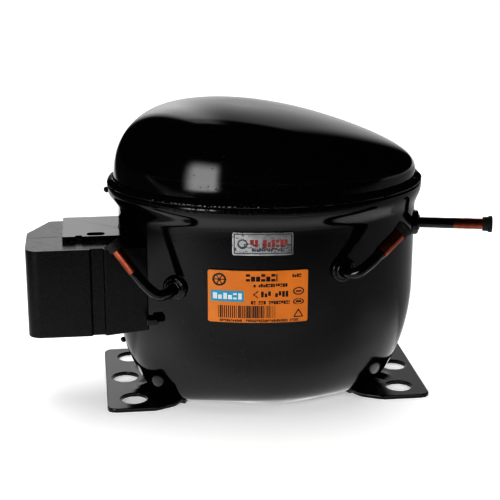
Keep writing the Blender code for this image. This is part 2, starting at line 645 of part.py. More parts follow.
def valve_gear(casting):
    """The stack on the cylinder's end: gasket, reeds, valve plate and head, with its bolts."""
    x = CYLINDER_HEAD_END + GAP
    stack = []
    for name, thickness in VALVE_STACK:
        if name.endswith("reed"):
            reach = 5 if name.startswith("suction") else 4
            low, high = (x, -5, CYLINDER_Z - 8 - reach), (x + thickness, 5, CYLINDER_Z + 10)
            block(name, low, high, "steel")
            if name.startswith("discharge"):
                continue
        else:
            material = "gasket" if name.endswith("gasket") else "steel"
            piece = block(name, (x, -HEAD_HALF_Y, HEAD_LOW), (x + thickness, HEAD_HALF_Y, HEAD_HIGH), material)
            stack.append(piece)
        x += thickness + GAP
    opening = rod("gasket_bore", (40, 0, CYLINDER_Z), (80, 0, CYLINDER_Z), BORE_R + 0.5, segments=32)
    cut(stack[0], opening)
    for port_z in (CYLINDER_Z - 7, CYLINDER_Z + 5):
        cut(stack[1], rod("port", (40, 0, port_z), (80, 0, port_z), 2.2, segments=12))
    head = bevel(block("cylinder_head", (x, -HEAD_HALF_Y, HEAD_LOW), (x + HEAD_LENGTH, HEAD_HALF_Y, HEAD_HIGH),
                       "aluminium"), 1.5, 1)
    cut(head, block("head_chamber", (x - 2, -11, CYLINDER_Z - 14), (x + HEAD_LENGTH - 4, 11, CYLINDER_Z + 14)))
    for name, y, z in HEAD_BOLTS:
        hole = rod(name + "_hole", (30, y, z), (90, y, z), 2.2 + GAP, segments=12)
        for piece in (casting, *stack, head):
            cut(piece, hole)
        turned(name, [(0, 4), (4.2, 4), (4.2, GAP), (2.2, GAP), (2.2, GAP - 36), (0, GAP - 36)], "steel",
               at=(x + HEAD_LENGTH, y, z), towards=(1, 0, 0), steps=12)


def mufflers():
    bevel(block("suction_muffler", (27, 24, PLATE_HIGH + GAP), (55, 44, 140), "plastic"), 3)
    bevel(block("discharge_muffler", (27, -42, PLATE_HIGH + GAP), (50, -24, 120), "cast_iron"), 3)
    inward = -wall_normal(DISCHARGE_EXIT)
    ends = [Vector(DISCHARGE_EXIT) + inward * reach for reach in (TUBE_IN + 8, TUBE_IN + 4, TUBE_IN + GAP)]
    route = [Vector(point) for point in ((50.4, -33, 110), (60, -33, 110), (70, -30, 104), (79, -22, 97),
                                         (80, -4, 92), (79, 14, 92), (78, 23, 98), (78, 18, 106))]
    tube("discharge_loop", smooth_route([*route, *ends], 3), 2.4, "copper", sides=2)


def drive():
    """Everything that turns with the shaft."""
    shaft = rod("crankshaft", (0, 0, 20), (0, 0, WEB_LOW + 1), SHAFT_R, "steel", SHAFT_AXIS, 32)
    web = rod("web_shape", (3, 0, WEB_LOW), (3, 0, WEB_HIGH), WEB_R, None, SHAFT_AXIS, 28)
    pin = rod("pin_shape", (THROW, 0, WEB_HIGH - 1), (THROW, 0, PIN_TOP), PIN_R, None, SHAFT_AXIS, 32)
    join(shaft, web, pin)
    start, end = math.radians(110), math.radians(250)
    arc = [start + (end - start) * step / 12 for step in range(13)]
    outer = [(COUNTER_R * math.cos(turn), COUNTER_R * math.sin(turn)) for turn in arc]
    inner = [(3 + (WEB_R + GAP) * math.cos(turn), (WEB_R + GAP) * math.sin(turn)) for turn in reversed(arc)]
    outline_piece("counterweight", [outer + inner], WEB_LOW + 0.3, WEB_HIGH - 0.3, "cast_iron", SHAFT_AXIS)
    core = (SHAFT_R + GAP, ROTOR_R, STATOR_LOW, STATOR_HIGH)
    inner, outer, low, high = core
    turned("rotor", [(inner, high), (outer - 8, high), (outer - 8, high + END_RING), (outer - 2, high + END_RING),
                     (outer - 2, high), (outer, high), (outer, low), (outer - 2, low),
                     (outer - 2, low - END_RING), (outer - 8, low - END_RING), (outer - 8, low), (inner, low)],
           "laminate", SHAFT_AXIS, steps=36)
    turned("oil_pickup", [(1.6, 19.7), (6, 19.7), (6, 17), (2.6, 9.5), (1.6, 9.5)], "steel", SHAFT_AXIS, steps=20)


def slider():
    """The bearing block on the crankpin, which slides across the yoke's slot."""
    piece = block("slide_block", (-SLIDER_X / 2, -SLIDER_Y / 2, 113.5), (SLIDER_X / 2, SLIDER_Y / 2, PIN_TOP),
                  "bronze", PIN_AXIS)
    cut(piece, rod("slider_bore", (0, 0, 100), (0, 0, 140), PIN_R + GAP, None, PIN_AXIS, 32))


def yoke_and_piston():
    half_x = SLIDER_X / 2 + GAP + YOKE_WALL
    half_y = SLIDER_Y / 2 + THROW + 1 + YOKE_WALL
    yoke = bevel(block("yoke", (-half_x, -half_y, YOKE_LOW), (half_x, half_y, YOKE_HIGH), "aluminium",
                       YOKE_AXIS), 1.5, 1)
    slot = block("slot_shape", (YOKE_WALL - half_x, YOKE_WALL - half_y, YOKE_LOW - 4),
                 (half_x - YOKE_WALL, half_y - YOKE_WALL, SLOT_TOP), None, YOKE_AXIS)
    cut(yoke, slot)
    crown = CYLINDER_HEAD_END - SHAFT_X - THROW - 0.5
    length = crown - half_x - GAP
    turned("piston", [(0, length), (PISTON_R - 0.6, length), (PISTON_R, length - 0.6), (PISTON_R, length - 5),
                      (PISTON_R - 0.7, length - 5.4), (PISTON_R - 0.7, length - 7.4), (PISTON_R, length - 7.8),
                      (PISTON_R, 0), (0, 0)], "steel", YOKE_AXIS, (half_x + GAP, 0, CYLINDER_Z), (1, 0, 0), 36)
    turned("yoke_oil_plug", [(0, 3.2), (3, 3.2), (4, 2.2), (4, GAP), (0, GAP)], "bronze", YOKE_AXIS,
           (0, 0, YOKE_HIGH), steps=20)


def build():
    lower_shell()
    upper_shell()
    seam_weld()
    foot("left_foot", -1)
    foot("right_foot", 1)
    tube_stubs()
    wall_sheet("rating_label", LABEL_X, LABEL_Z, "label_orange")
    wall_sheet("serial_plate", PLATE_X, PLATE_Z, "label_silver")
    terminal()
    electrical_box()
    bracket()
    motor_stator()
    suspension()
    valve_gear(crankcase())
    mufflers()
    drive()
    slider()
    yoke_and_piston()


build()
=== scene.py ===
"""Looks of the hermetic compressor: fine shells, feet, tube stubs, electrical box and labels round the frame.

Shapes are made in millimetres, in the CAD model's own layout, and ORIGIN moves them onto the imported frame.
"""

import math
import random

import bmesh
import bpy
from mathutils import Matrix, Vector, noise


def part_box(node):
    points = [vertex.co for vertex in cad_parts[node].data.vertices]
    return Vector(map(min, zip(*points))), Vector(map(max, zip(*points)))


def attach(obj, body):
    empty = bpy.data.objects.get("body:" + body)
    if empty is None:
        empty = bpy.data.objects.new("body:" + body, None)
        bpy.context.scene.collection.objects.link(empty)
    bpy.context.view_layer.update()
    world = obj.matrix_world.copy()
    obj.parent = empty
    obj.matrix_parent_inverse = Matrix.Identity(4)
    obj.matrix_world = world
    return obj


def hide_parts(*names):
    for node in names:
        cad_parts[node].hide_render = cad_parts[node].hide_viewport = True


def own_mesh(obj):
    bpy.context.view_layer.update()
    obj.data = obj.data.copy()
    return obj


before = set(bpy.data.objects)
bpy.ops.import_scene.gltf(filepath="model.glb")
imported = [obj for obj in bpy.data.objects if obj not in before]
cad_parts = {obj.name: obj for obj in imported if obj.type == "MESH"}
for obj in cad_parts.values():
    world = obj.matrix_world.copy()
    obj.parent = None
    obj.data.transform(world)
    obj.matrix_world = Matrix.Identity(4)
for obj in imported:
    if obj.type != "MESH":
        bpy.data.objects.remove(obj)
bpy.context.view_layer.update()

MM = 0.001
GAP = 0.35

# The housing's plan and profile, as in the CAD: X is an oval's centre, A its half length and B its half width
SHEET = 2.7
WALL_X, WALL_A, WALL_B = 3.5, 94.5, 66.5
LIP_X, LIP_A, LIP_B = 2.0, 99.5, 72.0
DOME_A, DOME_B = 95.5, 68.0
BOTTOM, SUMP_DROP, SUMP_RADIUS = 3.0, 2.2, 51.0
FLARE_START, LIP_WIDEST, LIP_TOP, LIP_ROUND = 119.0, 131.0, 134.0, 1.1
DOME_BASE, DOME_HEIGHT, SKIRT_END = 137.0, 44.4, 131.0
DOME_FALL, DOME_CROWN = 12.3, 6.15

# The powers of the dome's side and top curves at its left end, and how they change towards its right end
SIDE_POWER, TOP_POWER = (3.82, -2.06), (2.24, 1.18)

# The bottom corner's (inset, height) at the right, left and front, and how much tighter it is between them
CORNER_RIGHT, CORNER_LEFT, CORNER_FRONT = (38, 65), (30, 42), (19, 28)
TIGHT_RIGHT, TIGHT_LEFT = 0.5, 1.0

# The feet: back corners of the right one, holes, the arc under the bowl, ribs, rolled edge and mesh size
FOOT_LOW, FOOT_TOP, FOOT_HALF_Y = 0.6, 3.0, 50.2
FOOT_HALF = [(48, 30, 0), (53.5, 42, 0), (71, FOOT_HALF_Y, 4), (102, FOOT_HALF_Y, 5)]
HOLE_X, MIDDLE_HOLE_X, HOLE_Y, HOLE_R = 85.0, 89.5, 35.0, 8.2
FOOT_ARC_R, FOOT_ARC = SUMP_RADIUS + 6, math.radians(27)
RIB_Y, RIB_HEIGHT, RIB_WIDTH, RIB_FADE = 17.0, 4.6, 4.6, (68, 86)
ROLL_HEIGHT, ROLL_WIDTH, FOOT_GRID = 1.8, 3.2, 0.6

# The CAD layout's origin in the frame: the weld ring is centred on the lip, and the feet stand on the floor
weld_low, weld_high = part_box("seam_weld")
foot_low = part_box("left_foot")[0]
ORIGIN = Vector(((weld_low.x + weld_high.x) / 2 - LIP_X * MM, (weld_low.y + weld_high.y) / 2,
                 foot_low.z - FOOT_LOW * MM))

# Tube stubs: where each leaves the wall, its free route, the share that is painted, and its end's radius
TUBE_R, COLLAR_R, COLLAR_OUT, TUBE_IN = 3.3, 7.7, 4.0, 9.0
CAP_R, CAP_LENGTH, CAP_OVER = 5.2, 5.8, 3.8
STUBS = {
    "suction": ((-58.8, -50.0, 80.8),
                [(-63.4, -57.4, 80.0), (-70.2, -62.3, 80.8), (-77.4, -62.4, 87.0), (-84.2, -61.0, 95.4),
                 (-89.6, -58.6, 102.7), (-95.6, -56.1, 110.8)], 0.75, 3.35),
    "process": ((40.9, -61.1, 92.4),
                [(43.0, -68.4, 91.8), (48.6, -71.8, 93.6), (56.2, -71.2, 99.2), (64.2, -68.9, 106.4),
                 (71.0, -66.1, 111.9), (77.0, -63.7, 116.8)], 0.72, 3.95),
    "discharge": ((96.9, -10.0, 105.2), None, 0.678, 3.35),
}
DISCHARGE_LENGTH = 47.5

# Electrical box and its bracket
BOX_LEFT, BOX_FRONT, BOX_BACK, BOX_LOW, BOX_HIGH = -148.4, -37.0, 28.0, 46.8, 102.4
BOX_WALL, PARTING_Y, BOX_INTO_WALL, HOLLOW_INTO_WALL, HOLLOW_OVERLAP = 2.4, -8.0, -60.0, -50.0, 4.0
CHAMFER_X, CHAMFER_Y = -134.7, 2.0
GROOVE_LEFT, GROOVE_RIGHT, GROOVE_DEPTH = -109.8, -100.8, 1.8
FRONT_WALL = 4.0
BRACKET_LEFT, BRACKET_FRONT, BRACKET_BACK = -126.0, -20.0, 24.0
BRACKET_TOP, BRACKET_HEM, BRACKET_SHEET = 105.8, 102.8, 1.6
SLOT_X, SLOT_Y, NOTCH_X, NOTCH_DEPTH = (-111, -100), (-18, -11.8), (-118, -114), 2.4
CLIP_LOW, CLIP_HIGH = (-76.5, -47.5, 56), (-69.5, -40, 60.5)


# ---- materials

def shader_material(name, colour, roughness, metallic=0.0, **sockets):
    """A Principled material. Every even value sits on the shader's own socket."""
    material = bpy.data.materials.new(name)
    material.use_nodes = True
    shader = material.node_tree.nodes["Principled BSDF"]
    shader.inputs["Base Color"].default_value = (*colour, 1)
    shader.inputs["Roughness"].default_value = roughness
    shader.inputs["Metallic"].default_value = metallic
    for socket, value in sockets.items():
        shader.inputs[socket.replace("_", " ")].default_value = value
    return material


def add_node(owner, kind, **settings):
    """A new node in a material or the world, with its sockets' values and its own options."""
    node = owner.node_tree.nodes.new(kind)
    for name, value in settings.items():
        if name in node.inputs:
            node.inputs[name].default_value = value
        else:
            setattr(node, name, value)
    return node


def connect(owner, output, target):
    owner.node_tree.links.new(output, target)


def shader_of(material):
    return material.node_tree.nodes["Principled BSDF"]


def pattern(material, scale, detail=3.0, stretch=(1, 1, 1)):
    """Noise in the object's own space, in features of about 1/scale metres."""
    place = add_node(material, "ShaderNodeTexCoord")
    mapping = add_node(material, "ShaderNodeMapping")
    mapping.inputs["Scale"].default_value = stretch
    cloud = add_node(material, "ShaderNodeTexNoise", Scale=scale, Detail=detail, Roughness=0.55)
    connect(material, place.outputs["Object"], mapping.inputs["Vector"])
    connect(material, mapping.outputs["Vector"], cloud.inputs["Vector"])
    return cloud.outputs["Fac"]


def vary_colour(material, factor, low, high, from_low=0.35, from_high=0.65):
    """Runs the base colour between two colours as a pattern goes from one value to the other."""
    ramp = add_node(material, "ShaderNodeValToRGB")
    ramp.color_ramp.elements[0].position = from_low
    ramp.color_ramp.elements[1].position = from_high
    ramp.color_ramp.elements[0].color = (*low, 1)
    ramp.color_ramp.elements[1].color = (*high, 1)
    connect(material, factor, ramp.inputs["Fac"])
    connect(material, ramp.outputs["Color"], shader_of(material).inputs["Base Color"])


def map_range(owner, value, old, new, curve="LINEAR"):
    """A value taken from one (low, high) range to another."""
    node = add_node(owner, "ShaderNodeMapRange", interpolation_type=curve)
    for socket, limit in zip(("From Min", "From Max", "To Min", "To Max"), (*old, *new)):
        node.inputs[socket].default_value = limit
    connect(owner, value, node.inputs["Value"])
    return node.outputs["Result"]


def vary_roughness(material, factor, low, high):
    """Runs the roughness between two values over the middle of a pattern."""
    spread = map_range(material, factor, (0.3, 0.7), (low, high))
    connect(material, spread, shader_of(material).inputs["Roughness"])


def bump(material, factor, height, before=None):
    """Relief of a pattern, its full height in metres, on top of the relief before it."""
    relief = add_node(material, "ShaderNodeBump", Distance=height)
    connect(material, factor, relief.inputs["Height"])
    if before:
        connect(material, before.outputs["Normal"], relief.inputs["Normal"])
    connect(material, relief.outputs["Normal"], shader_of(material).inputs["Normal"])
    return relief


def gloss_paint(name, black, roughness, peel, dust):
    """Stoved black enamel: orange peel, faint clouds in the gloss, and a scatter of dust specks."""
    material = shader_material(name, black, roughness)
    speck = pattern(material, 900, 1.0)
    clouds = pattern(material, 22, 4.0)
    vary_colour(material, speck, black, (dust, dust, dust * 1.02), 0.70, 0.78)
    vary_roughness(material, clouds, roughness - 0.04, roughness + 0.06)
    wide = bump(material, pattern(material, 160, 2.0), peel)
    bump(material, pattern(material, 2600, 1.0), peel * 0.06, before=wide)
    return material


def moulded_plastic(name, colour, roughness):
    """Moulded plastic with a fine eroded grain."""
    material = shader_material(name, colour, roughness, Specular_IOR_Level=0.36)
    lighter = tuple(value * 1.25 for value in colour)
    vary_colour(material, pattern(material, 60, 5.0), colour, lighter)
    vary_roughness(material, pattern(material, 240, 3.0), roughness - 0.02, roughness + 0.03)
    bump(material, pattern(material, 2400, 2.0), 0.000012)
    return material


def metal(name, dark, light, roughness, grain, stretch=(1, 1, 1), relief=0.00003):
    """Bare metal with tarnish clouds and a directional grain."""
    material = shader_material(name, light, roughness, 1.0)
    vary_colour(material, pattern(material, 55, 5.0), dark, light, 0.3, 0.66)
    fine = pattern(material, grain, 3.0, stretch)
    vary_roughness(material, fine, roughness - 0.06, roughness + 0.12)
    bump(material, fine, relief)
    return material


def make_materials():
    made = {
        "paint": gloss_paint("gloss_black_enamel", (0.0035, 0.0035, 0.0038), 0.10, 0.000008, 0.03),
        "foot_paint": gloss_paint("foot_black_enamel", (0.0045, 0.0045, 0.0048), 0.16, 0.000014, 0.03),
        "weld_paint": gloss_paint("painted_weld_bead", (0.0045, 0.0045, 0.0048), 0.10, 0.00010, 0.06),
        "plastic": moulded_plastic("charcoal_moulded_plastic", (0.0045, 0.0045, 0.0047), 0.27),
        "relay_plastic": moulded_plastic("relay_plastic", (0.045, 0.043, 0.04), 0.45),
        "rubber": moulded_plastic("cap_rubber", (0.014, 0.0135, 0.013), 0.55),
        "copper": metal("bare_copper", (0.15, 0.048, 0.032), (0.40, 0.150, 0.100), 0.40, 900, relief=0.00005),
        "inner_copper": metal("inner_copper", (0.55, 0.22, 0.11), (0.80, 0.38, 0.22), 0.28, 700),
        "steel": metal("machined_steel", (0.42, 0.42, 0.43), (0.62, 0.62, 0.63), 0.28, 1500, (1, 1, 0.1)),
        "spring": metal("spring_steel", (0.30, 0.30, 0.31), (0.52, 0.52, 0.53), 0.32, 900),
        "laminate": metal("lamination_stack", (0.16, 0.16, 0.17), (0.34, 0.34, 0.36), 0.42, 260,
                          (0.3, 0.3, 12), 0.00012),
        "iron": metal("grey_cast_iron", (0.09, 0.09, 0.095), (0.20, 0.20, 0.205), 0.58, 700, relief=0.0002),
        "aluminium": metal("die_cast_aluminium", (0.55, 0.55, 0.56), (0.78, 0.78, 0.79), 0.40, 500,
                           relief=0.0001),
        "bronze": metal("bearing_bronze", (0.42, 0.28, 0.13), (0.66, 0.46, 0.24), 0.30, 1200, (1, 1, 0.15)),
        "winding": metal("enamelled_winding", (0.32, 0.10, 0.04), (0.58, 0.22, 0.09), 0.30, 420,
                         (1, 1, 6), 0.0004),
        "gasket": moulded_plastic("gasket_fibre", (0.12, 0.10, 0.08), 0.75),
        "ink": shader_material("label_ink", (0.010, 0.008, 0.007), 0.42),
        "orange": shader_material("label_orange_film", (0.40, 0.138, 0.012), 0.36, Coat_Weight=0.3),
        "blue": shader_material("label_blue_film", (0.015, 0.20, 0.30), 0.36, Coat_Weight=0.3),
        "white_ink": shader_material("label_white_ink", (0.42, 0.43, 0.43), 0.4),
        "silver": metal("plate_foil", (0.26, 0.26, 0.265), (0.66, 0.66, 0.67), 0.30, 500, relief=0.00008),
        "silver_ink": shader_material("plate_print", (0.05, 0.05, 0.052), 0.45),
        "red_ink": shader_material("plate_red_print", (0.20, 0.035, 0.03), 0.45),
    }
    for name in ("orange", "blue", "ink", "white_ink", "silver_ink", "red_ink"):
        vary_roughness(made[name], pattern(made[name], 180, 4.0), 0.30, 0.46)
        bump(made[name], pattern(made[name], 900, 2.0), 0.00003)
    vary_colour(made["orange"], pattern(made["orange"], 70, 5.0), (0.38, 0.128, 0.010), (0.43, 0.150, 0.014))
    return made


MATERIALS = make_materials()

QUARTERS = ("front_left", "front_right", "back_left", "back_right")
NODE_LOOKS = {
    "relay_plastic": ("start_relay", "overload_protector"),
    "plastic": ("suction_muffler",),
    "inner_copper": ("discharge_loop",),
    "steel": ("hermetic_terminal", "terminal_pin_common", "terminal_pin_run", "terminal_pin_start",
              "earth_screw", *(f"stator_bolt_{quarter}" for quarter in QUARTERS), "crankshaft",
              "oil_pickup", "piston", "valve_plate", "suction_reed", "discharge_reed", "head_bolt_upper",
              "head_bolt_lower"),
    "laminate": ("stator_core", "rotor"),
    "winding": ("upper_winding", "lower_winding"),
    "iron": ("cylinder_block", "counterweight", "discharge_muffler"),
    "bronze": ("main_bearing", "thrust_washer", "slide_block", "yoke_oil_plug"),
    "aluminium": ("cylinder_head", "yoke"),
    "gasket": ("head_gasket",),
}


def paint_nodes():
    """Gives every CAD node that stays in the look its material."""
    for look, names in NODE_LOOKS.items():
        for name in names:
            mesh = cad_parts[name].data
            mesh.materials.clear()
            mesh.materials.append(MATERIALS[look])


# ---- mesh helpers

# Points round the housing
AROUND = 176


def add_object(name, data):
    obj = bpy.data.objects.new(name, data)
    bpy.context.scene.collection.objects.link(obj)
    return obj


def from_bmesh(name, shape, look, smooth_angle=40):
    """A piece from a mesh in millimetres of the CAD layout."""
    bmesh.ops.recalc_face_normals(shape, faces=shape.faces)
    for vertex in shape.verts:
        vertex.co = vertex.co * MM + ORIGIN
    mesh = bpy.data.meshes.new(name)
    shape.to_mesh(mesh)
    shape.free()
    mesh.shade_smooth()
    mesh.set_sharp_from_angle(angle=math.radians(smooth_angle))
    obj = add_object(name, mesh)
    for each in ([look] if isinstance(look, str) else look or []):
        mesh.materials.append(MATERIALS[each])
    return obj


def stand_for(piece, slot, *nodes):
    """The piece rides on the housing and takes the place of these CAD nodes."""
    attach(piece, "housing")
    if nodes:
        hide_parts(*nodes)


def apply_modifiers(obj):
    graph = bpy.context.evaluated_depsgraph_get()
    graph.update()
    mesh = bpy.data.meshes.new_from_object(obj.evaluated_get(graph))
    obj.modifiers.clear()
    old = obj.data
    obj.data = mesh
    bpy.data.meshes.remove(old)


def add_modifier(obj, kind, **settings):
    modifier = obj.modifiers.new(kind.lower(), kind)
    for name, value in settings.items():
        setattr(modifier, name, value)


def solidify(obj, thickness):
    add_modifier(obj, "SOLIDIFY", thickness=thickness * MM, offset=-1, use_even_offset=True)


def bevel(obj, width, segments=4):
    add_modifier(obj, "BEVEL", width=width * MM, segments=segments, limit_method="ANGLE",
                 angle_limit=math.radians(40), harden_normals=True)


def crisp(obj):
    """Flat faces shaded flat, with the rounded edges between them smooth."""
    obj.data.shade_smooth()
    obj.data.set_sharp_from_angle(angle=math.radians(50))
    add_modifier(obj, "WEIGHTED_NORMAL", keep_sharp=True)
    apply_modifiers(obj)


def cut(obj, *cutters):
    """Cuts the cutters out, in order, and removes them."""
    for cutter in cutters:
        add_modifier(obj, "BOOLEAN", operation="DIFFERENCE", solver="EXACT", object=cutter)
    apply_modifiers(obj)
    for cutter in cutters:
        bpy.data.objects.remove(cutter, do_unlink=True)


def loft(rings, start=None, end=None, hoop=False):
    """A mesh through closed rings of points. hoop joins the last ring to the first."""
    shape = bmesh.new()
    rows = [[shape.verts.new(point) for point in ring] for ring in rings]
    if hoop:
        rows.append(rows[0])
    for row, following in zip(rows, rows[1:]):
        for index in range(len(row)):
            shape.faces.new((row[index - 1], row[index], following[index], following[index - 1]))
    for row, tip in ((rows[0], start), (rows[-1], end)):
        if tip is not None:
            point = shape.verts.new(tip)
            for index in range(len(row)):
                shape.faces.new((row[index - 1], row[index], point))
    return shape


def block(name, low, high, look):
    """A box between two corners."""
    shape = bmesh.new()
    bmesh.ops.create_cube(shape, size=1)
    low, high = Vector(low), Vector(high)
    bmesh.ops.scale(shape, vec=high - low, verts=shape.verts)
    bmesh.ops.translate(shape, vec=(low + high) / 2, verts=shape.verts)
    return from_bmesh(name, shape, look)


def extruded(name, outlines, low, high, look):
    """A flat piece from closed (x, y) outlines between two heights. The first outline holds the others."""
    curve = bpy.data.curves.new(name, "CURVE")
    curve.dimensions = "2D"
    curve.fill_mode = "BOTH"
    curve.extrude = (high - low) / 2
    for outline in outlines:
        spline = curve.splines.new("POLY")
        spline.use_cyclic_u = True
        spline.points.add(len(outline) - 1)
        for point, (x, y) in zip(spline.points, outline):
            point.co = (x, y, 0, 1)
    flat = add_object(name + "_outline", curve)
    graph = bpy.context.evaluated_depsgraph_get()
    mesh = bpy.data.meshes.new_from_object(flat.evaluated_get(graph))
    shape = bmesh.new()
    shape.from_mesh(mesh)
    bmesh.ops.remove_doubles(shape, verts=shape.verts, dist=0.001)
    bmesh.ops.translate(shape, vec=(0, 0, (low + high) / 2), verts=shape.verts)
    bpy.data.objects.remove(flat, do_unlink=True)
    bpy.data.meshes.remove(mesh)
    return from_bmesh(name, shape, look)


def rounded(corners, steps=8):
    """An outline of (x, y, radius) corners, the round ones as arcs."""
    outline = []
    for index, (x, y, radius) in enumerate(corners):
        corner = Vector((x, y))
        before = (Vector(corners[index - 1][:2]) - corner).normalized()
        after = (Vector(corners[(index + 1) % len(corners)][:2]) - corner).normalized()
        if not radius:
            outline.append((x, y))
            continue
        half = before.angle(after) / 2
        middle = corner + (before + after).normalized() * radius / math.sin(half)
        start = corner + before * radius / math.tan(half) - middle
        end = corner + after * radius / math.tan(half) - middle
        for step in range(steps + 1):
            arm = start.lerp(end, step / steps).normalized() * radius
            outline.append(tuple(middle + arm))
    return outline


def angles(count=AROUND):
    return [2 * math.pi * step / count for step in range(count)]


def circle(x, y, radius, steps=56):
    return [(x + radius * math.cos(turn), y + radius * math.sin(turn)) for turn in angles(steps)]


def between(start, end, share):
    return start + (end - start) * share


def smoothstep(value, low, high):
    t = min(max((value - low) / (high - low), 0), 1)
    return t * t * (3 - 2 * t)


def smooth_route(points, steps=10):
    """Points along the smooth curve (Catmull-Rom) through a route's points."""
    ends = [2 * points[0] - points[1], *points, 2 * points[-1] - points[-2]]
    route = []
    for before, start, end, after in zip(ends, ends[1:], ends[2:], ends[3:]):
        for step in range(steps):
            t = step / steps
            route.append(0.5 * (2 * start + (end - before) * t
                                + (2 * before - 5 * start + 4 * end - after) * t * t
                                + (3 * start - before - 3 * end + after) * t ** 3))
    return [*route, points[-1]]


def frames_along(route):
    """Each point of a route with two directions across it, carried along without twisting."""
    placed = []
    across = None
    for index, point in enumerate(route):
        before, after = route[max(index - 1, 0)], route[min(index + 1, len(route) - 1)]
        direction = (after - before).normalized()
        if across is None:
            across = direction.orthogonal().normalized()
        across = (across - direction * across.dot(direction)).normalized()
        placed.append((point, across.copy(), direction.cross(across)))
    return placed


def ring_at(placed, radius, sides, wobble):
    """A ring of points round one point of a route, a little uneven."""
    point, side, up = placed
    return [point + (side * math.cos(turn) + up * math.sin(turn))
            * (radius + wobble * noise.noise(point * 0.35 + Vector((math.cos(turn), math.sin(turn), 0))))
            for turn in angles(sides)]


def turned(name, profile, at, towards, look, steps, rough=0.0):
    """A closed round piece from (radius, height) points, from the axis and back to it or as a ring."""
    towards = Vector(towards).normalized()
    side = towards.orthogonal().normalized()
    up = towards.cross(side)
    at = Vector(at)
    rings = []
    for radius, height in profile:
        ring = []
        for turn in angles(steps):
            arm = side * math.cos(turn) + up * math.sin(turn)
            lift = rough * noise.noise((arm * radius + towards * height) * 0.55 + at)
            ring.append(at + arm * (radius + lift) + towards * (height + lift))
        rings.append(ring)
    if profile[0][0] > 0.01:
        return from_bmesh(name, loft(rings, hoop=True), look)
    start, end = at + towards * profile[0][1], at + towards * profile[-1][1]
    return from_bmesh(name, loft(rings[1:-1], start, end), look)


def rounded_profile(corners, steps=5):
    """A (radius, height) profile with its corners rounded, from (radius, height, round) points."""
    outline = [tuple(corners[0][:2])]
    for before, corner, after in zip(corners, corners[1:], corners[2:]):
        point = Vector(corner[:2])
        back = Vector(before[:2]) - point
        onward = Vector(after[:2]) - point
        reach = min(corner[2], back.length * 0.45, onward.length * 0.45)
        if reach < 0.02:
            outline.append(tuple(point))
            continue
        start, end = point + back.normalized() * reach, point + onward.normalized() * reach
        for step in range(steps + 1):
            t = step / steps
            outline.append(tuple(start * (1 - t) ** 2 + point * 2 * t * (1 - t) + end * t * t))
    outline.append(tuple(corners[-1][:2]))
    return outline


# ---- housing

def corner_at(angle):
    """The bottom corner's (inset, height) in a direction, drawn in tighter near the feet's tips."""
    right, left, front = max(math.cos(angle), 0) ** 2, max(-math.cos(angle), 0) ** 2, math.sin(angle) ** 2
    inset, height = (right * r + left * l + front * f
                     for r, l, f in zip(CORNER_RIGHT, CORNER_LEFT, CORNER_FRONT))
    tighter = 4 * math.sin(angle) ** 2 * math.cos(angle) ** 4 * (TIGHT_RIGHT if right else TIGHT_LEFT)
    return inset * (1 - tighter), height


def sump_depth(radius):
    return SUMP_DROP * (1 - smoothstep(radius, SUMP_RADIUS - 5, SUMP_RADIUS + 5))


def bowl_point(angle, turn, grow=0.0):
    """A point on the bowl's outside. turn runs from 0, on the flat bottom, to 90 degrees, on the wall."""
    inset, height = corner_at(angle)
    edge = Vector(((WALL_A + grow) * math.cos(angle), (WALL_B + grow) * math.sin(angle)))
    place = edge * (1 - inset * (1 - math.sin(turn)) / edge.length)
    z = BOTTOM - grow + height * (1 - math.cos(turn))
    return Vector((WALL_X + place.x, place.y, z - sump_depth(place.length)))


def wall_point(angle, z, grow=0.0):
    """A point on the bowl's outside at a height."""
    height = corner_at(angle)[1]
    lift = min(max((z - BOTTOM + grow) / height, 0), 1)
    point = bowl_point(angle, math.acos(1 - lift), grow)
    return Vector((point.x, point.y, z))


def bowl_height(x, y):
    """The height of the bowl's outside over a point of the plan, or of its corner's top beyond the wall."""
    angle = math.atan2(y / WALL_B, (x - WALL_X) / WALL_A)
    inset, height = corner_at(angle)
    edge = Vector((WALL_A * math.cos(angle), WALL_B * math.sin(angle))).length
    lean = 1 - (edge - Vector((x - WALL_X, y)).length) / inset
    if lean >= 1:
        return BOTTOM + height
    return BOTTOM + height * (1 - math.cos(math.asin(max(lean, 0))))


def plan_ring(centre_x, a, b, z):
    return [Vector((centre_x + a * math.cos(angle), b * math.sin(angle), z)) for angle in angles()]


def wall_normal(place):
    """The level direction straight out of the wall at a point."""
    return Vector(((place[0] - WALL_X) / WALL_A ** 2, place[1] / WALL_B ** 2, 0)).normalized()


